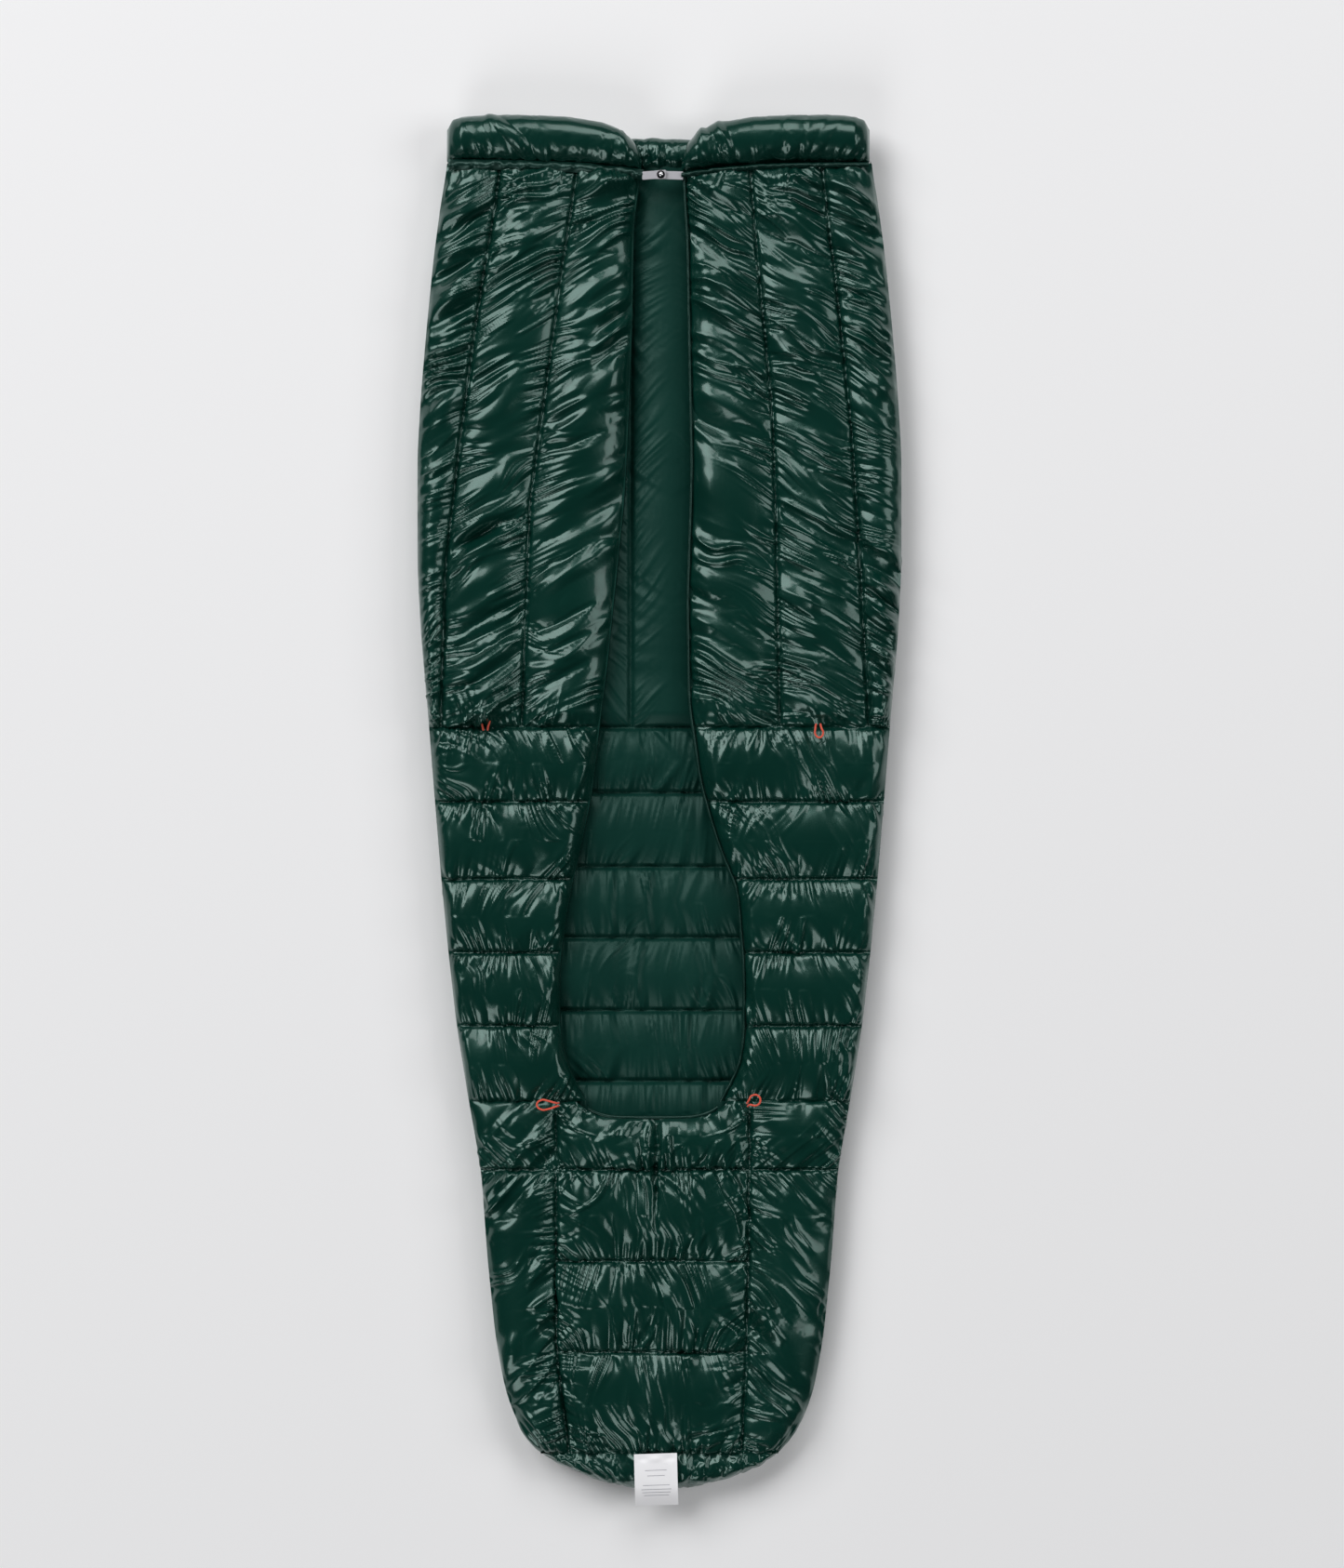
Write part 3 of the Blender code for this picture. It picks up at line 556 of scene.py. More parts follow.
FLAP_ROWS = [MAIN_SEAM, 0.0045, -0.102, -0.203, -0.304, FLAP_LOW]
LEFT_OUTER_SEAM = smooth_line([
    (0.876, 0.218), (0.667, 0.252), (0.486, 0.276), (0.327, 0.294), (0.107, 0.301)])
LEFT_INNER_SEAM = smooth_line([
    (0.876, 0.113), (0.729, 0.135), (0.566, 0.157), (0.417, 0.178), (0.107, 0.189)])
LEFT_EDGE = smooth_line([
    (0.867, 0.025), (0.801, 0.034), (0.667, 0.036), (0.486, 0.043), (0.417, 0.047), (0.282, 0.061),
    (0.193, 0.070), (0.125, 0.079), (0.012, 0.092), (-0.054, 0.106), (-0.133, 0.124),
    (-0.211, 0.135), (-0.278, 0.137), (-0.336, 0.133), (-0.386, 0.115), (-0.408, 0.095)])
RIGHT_INNER_SEAM = smooth_line([
    (0.876, 0.125), (0.729, 0.137), (0.554, 0.155), (0.396, 0.161), (0.107, 0.166)])
RIGHT_OUTER_SEAM = smooth_line([
    (0.876, 0.224), (0.688, 0.247), (0.509, 0.265), (0.372, 0.274), (0.107, 0.289)])
RIGHT_EDGE = smooth_line([
    (0.858, 0.031), (0.777, 0.036), (0.554, 0.040), (0.464, 0.042), (0.282, 0.036), (0.139, 0.038),
    (0.094, 0.045), (0.030, 0.054), (-0.024, 0.069), (-0.077, 0.087), (-0.113, 0.105),
    (-0.234, 0.114), (-0.300, 0.114), (-0.354, 0.110), (-0.386, 0.096), (-0.408, 0.077)])
FLAP_STEP = 0.0037
FLAP_SEAM_Z = 0.048
FLAP_PUFF = 0.014
CHAMBER_STEP = 1.46        # sets the folds of each chamber apart from the next
FLAP_GROOVE = 0.0018


def panel_grid(levels, seam_lines, marks_y):
    """A grid with a row at each cross level and a column on each long seam line; its columns are counted out
    at the level marks_y. It gives x, y, each point's place between its seams both ways, and the seams."""
    row_y, row_seams = divided(levels, FLAP_STEP)
    order, column_seams = divided([float(line(marks_y)) for line in seam_lines], FLAP_STEP)
    share = share_between(len(order), column_seams)
    x = np.zeros((len(row_y), len(order)))
    for i, (a, b) in enumerate(zip(column_seams, column_seams[1:])):
        xa, xb = seam_lines[i](row_y), seam_lines[i + 1](row_y)
        x[:, a:b + 1] = xa[:, None] + (xb - xa)[:, None] * share[None, a:b + 1]
        x[:, b] = xb
    y = np.repeat(row_y[:, None], len(order), 1)
    shares = np.repeat(share[None, :], len(row_y), 0)
    down = np.repeat(share_between(len(row_y), row_seams)[:, None], len(order), 1)
    return x, y, shares, down, row_seams, column_seams


def flap_sheet(side, levels, seam_lines, long_seams, slope):
    """One stitched panel of a flap before it is blown up, as (points, pinned)."""
    x, y, shares, down, row_seams, column_seams = panel_grid(levels, seam_lines, (levels[0] + levels[-1]) / 2)
    rows, columns = x.shape
    whole = np.linspace(0, 1, columns)[None, :]
    if long_seams:
        puff = np.sin(np.pi * np.clip(shares, 0, 1)) ** 0.55
        puff[:, column_seams] = 0
        puff = puff * np.clip(np.minimum(y - levels[-1], levels[0] - y) / 0.02, 0, 1) ** 0.6
    else:
        puff = np.sin(np.pi * down) ** 0.6 * np.clip(np.minimum(whole, 1 - whole) / 0.08, 0, 1) ** 0.5
    fall = np.clip(1 - (1 - whole if side > 0 else whole) / 0.10, 0, 1)
    inner = np.clip(1 - (whole if side > 0 else 1 - whole) / 0.10, 0, 1)
    z = FLAP_SEAM_Z + FLAP_PUFF * puff - (FLAP_SEAM_Z - FOLD_Z) * fall ** 2 - 0.009 * inner ** 2
    cross_away = distance_to(y, levels)
    long_away = np.min([np.abs(x - line(y)) for line in seam_lines], axis=0)
    folds = gathers(x + chamber_shift(y, levels, True), cross_away, 0.0120, 0.0032, 0.026, 0.7)
    if long_seams:
        chamber = np.searchsorted(column_seams, np.arange(columns))
        slanted = y - slope * x
        column_code = np.repeat(chamber[None, :], rows, 0) * CHAMBER_STEP
        folds += gathers(slanted + column_code, long_away, 0.0115, 0.0028, 0.024, 0.3)
        strength = np.clip(wander_2d(x, y, 0.07, 0.10) * 0.7 + 0.7, 0.1, 1.4)
        waver = 0.004 * wander_2d(x, y, 0.05, 0.05)
        folds += 0.0046 * wander(slanted + waver + column_code, 0.0195) * strength * puff
    else:
        strength = np.clip(wander_2d(x, y, 0.07, 0.06) * 0.8, 0, 1.2)
        folds += 0.0025 * wander(x * 0.9 + y * 0.4, 0.024) * strength * puff
    points = np.stack([x, y, z + folds * np.clip(puff * 3, 0, 1)], -1)
    pinned = np.zeros(x.shape, bool)
    pinned[:, [0, -1]] = True
    pinned[row_seams, :] = True
    if long_seams:
        pinned[:, column_seams] = True
    return points, pinned


def stitched(points, levels, seam_lines, long_seams, slant=0.0):
    """The blown-up cloth at twice the detail, with its stitch lines pulled down and puckers beside them."""
    fine = doubled(points)
    x, y = fine[..., 0], fine[..., 1]
    cross_away = distance_to(y, levels)
    seam_away = [np.abs(x - line(y)) for line in seam_lines]
    long_away, next_away = np.sort(seam_away, axis=0)[:2]
    middle = (x.max() + x.min()) / 2
    fan = 1.3 * (x - middle) / (x.max() - x.min())
    row_shift = chamber_shift(y, levels, True)
    lift = fingers(x + row_shift, cross_away, 0.0105, 0.0016 if long_seams else 0.0033, 0.036, fan)
    lift -= groove(cross_away, FLAP_GROOVE)
    if long_seams:
        nearest = np.argmin(seam_away, axis=0)
        toward = np.choose(nearest, [np.sign(x - line(y)) for line in seam_lines])
        code = (nearest * 2 + (toward > 0)) * CHAMBER_STEP
        chamber = (nearest + (toward > 0)) * 2 * CHAMBER_STEP
        before_middle = np.clip((next_away - long_away) / 0.024, 0, 1)
        lift += fingers(y + code, long_away, 0.0130, 0.0027, 0.046, slant * toward) * before_middle
        slanted, along = y - slant * x + chamber, x + slant * y
        lift += creases(slanted, along, 0.0250, 0.0034, 0.100, 0.052) * np.clip(long_away / 0.01, 0, 1)
        lift -= groove(long_away, FLAP_GROOVE)
    else:
        slanted, along = x * 0.9 + y * 0.45, y - 0.5 * x
        lift += creases(slanted, along, 0.0210, 0.0017, 0.060, 0.045, 0.0) * np.clip(cross_away / 0.02, 0, 1)
    across = np.linspace(0, 1, x.shape[1])[None, :]
    lift *= np.clip(np.minimum(across, 1 - across) / 0.045, 0, 1)
    lift[[0, -1], :] = 0
    return fine + normals_of(fine) * lift[..., None]


def bend_with_flap(piece):
    """Bakes the piece's placement into its mesh; the piece is tied to neither the quilt nor a flap."""
    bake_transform(piece)


LEFT_OVERLAP = 0.0018      # how far the shell goes over the soft edge on each flap
RIGHT_OVERLAP = 0.0030
NECK_DIP = 0.014           # how much lower the neck seam is at the slit than at the side


def build_flap(side):
    """Sews both panels of a flap. It gives the flap's long lines, edges and seams, from left to right."""
    if side < 0:
        word = "left"
        long_lines = [lambda y: -half_width(y), lambda y: -LEFT_OUTER_SEAM(y), lambda y: -LEFT_INNER_SEAM(y),
                      lambda y: -LEFT_EDGE(y) - LEFT_OVERLAP]
    else:
        word = "right"
        long_lines = [lambda y: RIGHT_EDGE(y) + RIGHT_OVERLAP, RIGHT_INNER_SEAM, RIGHT_OUTER_SEAM, half_width]
    levels = [COLLAR_SEAM - 0.004, MAIN_SEAM]
    points, pinned = flap_sheet(side, levels, long_lines, True, -0.55 * side)
    pattern = pattern_of(points, 0.095, 0.045, math.pi / 2 - 0.5 * side)
    points = cloth_sheet(points, pinned, 14.0, pattern, bending=0.02)
    points = stitched(points, levels, long_lines[1:3], True, -0.5 * side)
    middle_share = np.clip((half_width(points[..., 1]) - np.abs(points[..., 0])) / 0.26, 0, 1)
    points[..., 1] -= NECK_DIP * middle_share ** 3 * np.clip((points[..., 1] - 0.80) / 0.084, 0, 1) ** 2
    upper = sheet_piece(f"{word}_flap_upper", points, shell_cloth)
    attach(upper, f"{word}_flap")
    dress(upper, "shell_fabric", 0.75, f"{word}_flap_shell",
          *[f"{word}_flap_down_{place}" for place in ("outer", "middle", "inner")])
    cross_lines = [long_lines[0], long_lines[-1]]
    points, pinned = flap_sheet(side, FLAP_ROWS, cross_lines, False, 0.0)
    points = cloth_sheet(points, pinned, 14.0, pattern_of(points, 0.090, 0.050, 0.0), bending=0.02)
    points = stitched(points, FLAP_ROWS, cross_lines, False)
    lower = sheet_piece(f"{word}_flap_lower", points, shell_cloth)
    bend_with_flap(lower)
    dress(lower, "shell_fabric", 0.75, *[f"{word}_flap_down_cross_{i}" for i in range(1, 6)])
    return long_lines


left_lines = build_flap(-1)
right_lines = build_flap(1)


# ---------------------------------------------------------------- flap linings
# The inner faces of the flaps, in the same satin as the rest of the lining, stitched through at the same
# seams. They show when a flap is folded back.

LINING_QUILTING = 0.0045   # how far the lining bulges between its seams


def flap_lining(side, lines):
    word = "left" if side < 0 else "right"
    for part, levels in (("upper", [COLLAR_SEAM - 0.004, MAIN_SEAM]), ("lower", FLAP_ROWS)):
        row_y, _ = divided(levels, 0.006)
        shares = np.linspace(0, 1, 61)
        xa, xb = lines[0](row_y), lines[-1](row_y)
        x = xa[:, None] + (xb - xa)[:, None] * shares[None, :]
        y = np.repeat(row_y[:, None], 61, 1)
        if part == "upper":
            along, away = y, np.min([np.abs(x - line(y)) for line in lines], axis=0)
        else:
            along, away = x, distance_to(y, levels)
        low = LINING_QUILTING - groove(away, LINING_QUILTING, 0.022)
        low += gathers(along, away, 0.012, 0.0017, 0.026)
        edge = np.minimum(np.abs(x - xa[:, None]), np.abs(x - xb[:, None]))
        z = FOLD_Z - 0.001 - low * np.clip(edge / 0.02, 0, 1)
        piece = sheet_piece(f"{word}_flap_lining_{part}", np.stack([x, y, z], -1), lining_cloth, flip=True)
        if part == "upper":
            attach(piece, f"{word}_flap")
            dress(piece, "lining_fabric", 0.6, f"{word}_flap_lining")
        else:
            bend_with_flap(piece)
            dress(piece, "lining_fabric", 0.6)


flap_lining(-1, left_lines)
flap_lining(1, right_lines)


# ---------------------------------------------------------------- closed foot
# The upper side of the foot: a centre panel of cross rows with a pleat at its top, and a plain band on each
# side. The foot end is a separate gusset, sewn on with a curved seam that also holds the care label.

FOOT_END = -0.893
FOOT_ROWS = [FLAP_LOW, -0.502, -0.628, -0.753, FOOT_END]
SIDE_ROWS = [FLAP_LOW, -0.502, FOOT_END]
KEYHOLE_END = -0.431
KEYHOLE_X = -0.010
KEYHOLE_HALF = 0.105
PANEL_LEFT = smooth_line([(-0.408, -0.142), (-0.753, -0.142), (-0.893, -0.124)])
PANEL_RIGHT = smooth_line([(-0.408, 0.125), (-0.753, 0.121), (-0.893, 0.112)])
PLEAT_X = -0.005


def keyhole_arch(x, half=KEYHOLE_HALF):
    """The round end of the keyhole, from 1 over most of its width down to 0 at its sides."""
    return np.clip(1 - np.abs((x - KEYHOLE_X) / half) ** 5, 0, 1)


foot_lines = [lambda y: -half_width(y), PANEL_LEFT, PANEL_RIGHT, half_width]
x, y, side_share, down, row_seams, column_seams = panel_grid(FOOT_ROWS, foot_lines, -0.60)
centre = np.zeros(x.shape, bool)
centre[:, column_seams[1]:column_seams[2] + 1] = True
centre_share = np.clip((x - PANEL_LEFT(y)) / (PANEL_RIGHT(y) - PANEL_LEFT(y)), 0, 1)
side_down = distance_to(y, SIDE_ROWS)
row_away = distance_to(y, FOOT_ROWS)
puff = np.where(
    centre,
    np.sin(np.pi * down) ** 0.6 * np.clip(np.minimum(centre_share, 1 - centre_share) / 0.12, 0, 1) ** 0.5,
    np.sin(np.pi * side_share) ** 0.55 * np.clip(side_down / 0.035, 0, 1) ** 0.6)
edge_gap = half_width(y) - np.abs(x)
fall = np.clip(1 - edge_gap / 0.025, 0, 1)
z = FLAP_SEAM_Z + FLAP_PUFF * puff - (FLAP_SEAM_Z - FOLD_Z) * fall ** 2
panel_away = np.minimum(np.abs(x - PANEL_LEFT(y)), np.abs(x - PANEL_RIGHT(y)))
row_shift = chamber_shift(y, FOOT_ROWS, True)
side_shift = chamber_shift(y, SIDE_ROWS, True)
folds = np.where(centre, gathers(x + row_shift, row_away, 0.0125, 0.0034, 0.034, 0.9), 0.0)
folds += gathers(y, panel_away, 0.0125, 0.0024, 0.020, 0.8) * (panel_away < edge_gap)
folds += np.where(~centre, gathers(x + side_shift, side_down, 0.012, 0.0028, 0.040, 0.8), 0.0)
sweep = np.abs(x) * 0.75 + y * 0.65 + CHAMBER_STEP * (x > 0)
folds += 0.0032 * wander(sweep, 0.017) * np.clip(wander_2d(x, y, 0.05, 0.07) + 0.3, 0, 1.2) * ~centre
folds += 0.0022 * wander(x * 0.9 + y * 0.3, 0.020) * np.clip(wander_2d(x, y, 0.05, 0.05), 0, 1.2) * centre
points = np.stack([x, y, z + folds * np.clip(puff * 3, 0, 1)], -1)
keyhole_share = np.clip((points[..., 1] - FOOT_ROWS[1]) / (FOOT_ROWS[0] - FOOT_ROWS[1]), 0, 1)
points[..., 1] -= (FOOT_ROWS[0] - KEYHOLE_END) * keyhole_share * keyhole_arch(x)
pinned = np.zeros(x.shape, bool)
pinned[:, [0, -1]] = True
pinned[:, column_seams[1:3]] = True
pinned[[row_seams[0], row_seams[1], row_seams[-1]], :] = True
for r in row_seams[2:-1]:
    pinned[r, column_seams[1]:column_seams[2] + 1] = True
points = cloth_sheet(points, pinned, 14.0, pattern_of(points, 0.080, 0.065, 0.0), bending=0.02)
fine = doubled(points)
x, y = fine[..., 0], fine[..., 1]
in_centre = (x > PANEL_LEFT(y)) & (x < PANEL_RIGHT(y))
away = np.where(in_centre, distance_to(y, FOOT_ROWS[1:]), distance_to(y, SIDE_ROWS[1:]))
panel_away = np.minimum(np.abs(x - PANEL_LEFT(y)), np.abs(x - PANEL_RIGHT(y)))
foot_code = chamber_shift(y, FOOT_ROWS, True) + 1.1 * (x > PANEL_RIGHT(y)) + 2.3 * (x < PANEL_LEFT(y))
lift = fingers(x + foot_code, away, 0.0120, 0.0034, 0.046, 4.5 * (x - PLEAT_X)) - groove(away, FLAP_GROOVE)
lift += fingers(y + foot_code, panel_away, 0.0115, 0.0027, 0.038, -0.6) - groove(panel_away, FLAP_GROOVE)
outward = np.abs(x) * 0.75 + y * 0.65 + CHAMBER_STEP * (x > 0)
lift += np.where(in_centre, creases(x * 0.95 + y * 0.25, y, 0.0210, 0.0020, 0.055, 0.040),
                 creases(outward, y * 0.75 - np.abs(x) * 0.65, 0.0185, 0.0023, 0.070, 0.040))
dart = 0.0030 + 0.0030 * np.clip((y + 0.50) / 0.07, 0, 1)
lift -= groove(x - PLEAT_X, 0.010, dart) * np.clip((y + 0.60) / 0.07, 0, 1)
lift[[0, -1], :] = 0
lift[:, [0, -1]] = 0
fine = fine + normals_of(fine) * lift[..., None]
foot_top = sheet_piece("foot_top", fine, shell_cloth)
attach(foot_top, "quilt")
dress(foot_top, "shell_fabric", 0.75, "foot_shell", "foot_down_side_left", "foot_down_side_right",
      *[f"foot_down_centre_{i}" for i in range(1, 5)])

row_y, _ = divided([FLAP_LOW, FOOT_END], 0.012)
shares = np.linspace(-1, 1, 41)
x = (half_width(row_y) - 0.002)[:, None] * shares[None, :]
y = np.repeat(row_y[:, None], 41, 1)
y = y - 0.023 * np.clip((y + 0.502) / 0.094, 0, 1) * keyhole_arch(x)
z = 0.0400 - 0.0025 * np.abs(np.sin((y + FLAP_LOW) * 26)) + 0.0 * x
foot_inside = sheet_piece("foot_inside", np.stack([x, y, z], -1), lining_cloth, flip=True)
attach(foot_inside, "quilt")
dress(foot_inside, "lining_fabric", 0.6, "foot_lining")

GUSSET_HALF = float(half_width(FOOT_END))
GUSSET_TOP = 0.0475
GUSSET_FRONT = -0.9535
END_CURVE = [
    (0.0, -0.949), (0.060, -0.942), (0.116, -0.926), (0.142, -0.913), (0.160, -0.899), (0.166, FOOT_END)]
turns = np.linspace(-1, 1, 121)
end_y = np.interp(END_CURVE[-1][0] * np.abs(turns), *np.array(END_CURVE).T)
rounds = np.linspace(0, 1, 22)[:, None]
x = GUSSET_HALF * turns[None, :] + 0 * rounds
y = FOOT_END + (end_y - FOOT_END)[None, :] * np.sin(rounds * math.pi / 2) ** 0.8
swell = 0.012 * np.sin(math.pi * np.clip(rounds * 1.15, 0, 1)) * (1 - turns[None, :] ** 4)
z = GUSSET_TOP * (1 - rounds ** 1.6) + 0.004 * rounds + swell
points = np.stack([x, y, z], -1)
depth = np.clip(rounds * 0.06, 0, 1) + 0 * x
folds = gathers(x, depth, 0.011, 0.0026, 0.030, 0.9) * (1 - turns[None, :] ** 8)
points += normals_of(points) * (folds * (rounds > 0) * (rounds < 1))[..., None]
pinned = np.zeros(x.shape, bool)
pinned[[0, -1], :] = True
pinned[:, [0, -1]] = True
points = cloth_sheet(points, pinned, 8.0, grow=0.035)
points[..., 1] = np.maximum(points[..., 1], GUSSET_FRONT)
foot_gusset = sheet_piece("foot_gusset", doubled(points), shell_cloth)
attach(foot_gusset, "quilt")
dress(foot_gusset, "shell_fabric", 0.7, "foot_end")


# ---------------------------------------------------------------- collars
# A soft down roll on each flap and one on the lower layer. Each is a tube of shell cloth gathered onto the
# neck seam, with a folded band of the same cloth over that seam, drawn in a darker copy of it as painted
# shade.

LOBE_TOPS = [0.890, 0.911, 0.929, 0.940, 0.947, 0.9495, 0.949, 0.9475, 0.944, 0.930]
LOBE_PLACES = [0.0, 0.03, 0.09, 0.2, 0.38, 0.6, 0.8, 0.92, 0.97, 1.0]


COLLAR_FRONT = 0.9535
COLLAR_TOP = 0.083
BACK_ROWS = 9              # rows of the grid that close a roll underneath


def collar_roll(name, x_in, x_out, tops, dip, low_z, high_z, body, node):
    """A roll from the slit end x_in to the side end x_out. Tops are the levels of its upper edge along it,
    and dip says how far its root is below the neck seam at each end."""
    shares, _ = divided([0.0, 1.0], 0.0035 / abs(x_out - x_in))
    rounds = np.linspace(0, 1, 30)
    top = np.interp(shares, LOBE_PLACES, tops)
    root = COLLAR_SEAM - 0.002 - dip[0] * (1 - shares) ** 3 - dip[1] * shares
    end = np.clip(np.minimum(shares, 1 - shares) * abs(x_out - x_in) / 0.022, 0, 1) ** 0.45
    angle = math.pi * (1.02 - 1.08 * rounds)
    middle, reach = (top + root) / 2, (top - root) / 2
    y = middle[None, :] + np.cos(angle)[:, None] * reach[None, :]
    z = low_z + (high_z - low_z) * np.clip(np.sin(angle), -0.1, 1)[:, None] * (0.10 + 0.90 * end[None, :])
    back = np.linspace(0.06, 1.0, BACK_ROWS)[:, None]
    y = np.concatenate([y, y[-1:] + (root[None, :] - y[-1:]) * back])
    z = np.concatenate([z, z[-1:] - 0.0015 * np.sin(math.pi * back)])
    x = (x_in + (x_out - x_in) * shares)[None, :] + 0 * y
    points = np.stack([x, y, z], -1)[::-1]
    if x_out < x_in:
        points = points[:, ::-1]
    away = np.clip(points[..., 1] - (COLLAR_SEAM - 0.012), 0, 1)
    folds = gathers(points[..., 0], away, 0.022, 0.0012, 0.030, 0.7)
    folds[:BACK_ROWS] = 0
    points = points + normals_of(points) * folds[..., None]
    pinned = np.zeros(x.shape, bool)
    pinned[:BACK_ROWS] = True
    pinned[[0, -1], :] = True
    pinned[:, [0, -1]] = True
    points = doubled(cloth_sheet(points, pinned, 6.0, grow=0.008, frames=16))
    x, y = points[..., 0], points[..., 1]
    away = np.clip(y - (COLLAR_SEAM - 0.006), 0, 1)
    fan = 3.0 * (x - (x_in + x_out) / 2)
    tucks = fingers(x, away, 0.0100, 0.0018, 0.022, fan)
    tucks += fingers(x + 0.7, away, 0.0240, 0.0024, 0.050, fan)
    tucks += creases(x, y, 0.034, 0.0013, 0.05, 0.05, 0.1)
    tucks *= np.clip(np.minimum(x - x.min(), x.max() - x) / 0.03, 0, 1)
    tucks[:2 * BACK_ROWS] = 0
    points[1:-1] += (normals_of(points) * tucks[..., None])[1:-1]
    points[..., 1] = np.minimum(points[..., 1], COLLAR_FRONT)
    points[..., 2] = np.clip(points[..., 2], 0.002, COLLAR_TOP)
    piece = sheet_piece(name, points, shell_cloth)
    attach(piece, body)
    dress(piece, "shell_fabric", 0.8, node)


FRONT_TOPS = [0.918, 0.922, 0.923, 0.922, 0.921, 0.922, 0.923, 0.922, 0.921, 0.918]
for word, x_in, x_out in (("left", -0.025, -0.2925), ("right", 0.031, 0.2895)):
    collar_roll(f"{word}_collar_roll", x_in, x_out, LOBE_TOPS, (NECK_DIP, 0.0), 0.042, 0.073, f"{word}_flap",
                f"{word}_collar")
collar_roll("front_collar_roll", 0.280, -0.280, FRONT_TOPS, (0.009, 0.009), 0.004, 0.035, "quilt",
            "front_collar")

# A darker copy of the shell cloth: painted shade for the neck bands, slit edges and keyhole rim, which lie in
# shadow.
shaded_edge_cloth = nylon("edge_binding_painted_shade", (0.0016, 0.022, 0.0160), (0.0008, 0.013, 0.0095), 0.36, 0.2)

for side, word, inner, outer, wide in (
        (-1, "left", 0.0215, 0.290, 0.014), (1, "right", 0.0300, 0.288, 0.007)):
    shares = np.linspace(0, 1, 150)
    ups = np.linspace(-1, 1, 7)
    x = side * (inner + (outer - inner) * shares)[None, :] + 0 * ups[:, None]
    y = (COLLAR_SEAM - 0.0075 - NECK_DIP * (1 - shares) ** 3)[None, :] - ups[:, None] * wide / 2
    z = 0.0590 - 0.0050 * ups[:, None] ** 2 + 0.0012 * wander_2d(x, y, 0.007, 0.006) + 0 * y
    points = np.stack([x, y, z], -1)
    if side < 0:
        points = points[:, ::-1]
    band = sheet_piece(f"{word}_neck_band", points, shaded_edge_cloth)
    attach(band, f"{word}_flap")
    dress(band, "binding_fabric", 0.5)


# ---------------------------------------------------------------- slit edges
# The left edge of the slit is turned over a soft roll, and the right edge is bound with narrow tape.
# Both run from the neck round the keyhole, so each is cut where the flap's lower part begins.

def edge_tube(name, path_x, path_y, lift, wide, high):
    """A soft puckered tube along a slit edge, at one height."""
    angle = np.linspace(0, 2 * math.pi, 15)
    pucker = 1 + 0.06 * wander(path_y, 0.007)
    x = path_x[None, :] + np.cos(angle)[:, None] * wide / 2 * pucker[None, :]
    z = lift + np.sin(angle)[:, None] * high / 2 * pucker[None, :]
    y = path_y[None, :] + 0 * x
    return sheet_piece(name, np.stack([x, y, z], -1), shaded_edge_cloth, flip=True)


# The slit edges, like the keyhole rim below, use the darker edge cloth: painted shade.
for side, word, node, edge, wide, high, lift in (
        (-1, "left", "left_slit_roll", LEFT_EDGE, 0.0125, 0.0105, 0.0340),
        (1, "right", "right_slit_binding", RIGHT_EDGE, 0.0045, 0.0055, 0.0460)):
    for part, top_y, low_y in (("upper", COLLAR_SEAM - 0.018, MAIN_SEAM), ("lower", MAIN_SEAM, FLAP_LOW)):
        path_y = np.linspace(top_y, low_y, int((top_y - low_y) / 0.003))
        path_x = side * (edge(path_y) + wide * 0.55)
        tube = edge_tube(f"{word}_slit_edge_{part}", path_x, path_y, lift, wide, high)
        if part == "upper":
            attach(tube, f"{word}_flap")
            dress(tube, "binding_fabric", 0.8, node)
        else:
            bend_with_flap(tube)
            dress(tube, "binding_fabric", 0.8)

turns = np.linspace(-0.098, 0.080, 90)
path_y = FLAP_LOW - 0.0225 * keyhole_arch(turns, 0.098)
sides = np.linspace(0, 2 * math.pi, 13)
x = turns[None, :] + 0 * sides[:, None]
y = path_y[None, :] + np.cos(sides)[:, None] * 0.0028
z = 0.0465 + np.sin(sides)[:, None] * 0.0035 * (1 + 0.08 * wander(x, 0.008))
keyhole_edge = sheet_piece("keyhole_edge", np.stack([x, y, z], -1), shaded_edge_cloth)
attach(keyhole_edge, "quilt")
dress(keyhole_edge, "binding_fabric", 0.8)


# ---------------------------------------------------------------- snap strap
# Two tabs of light grey tape, one sewn to each flap at the neck. They close with a press stud: a domed cap
# and a dark ring on the upper tab, a stud on the lower one.

TAPE_WIDTH = 0.0114
STUD_X = 0.002
webbing = Finish("grey_webbing", {"Roughness": 0.82, "Sheen Weight": 0.2})
ribs = webbing.texture("Wave", "X", Scale=260.0, Distortion=1.2)
webbing.colour(ribs, (0.36, 0.36, 0.385), (0.50, 0.50, 0.53))
webbing.relief(ribs.outputs["Fac"], 0.35, 0.0003)


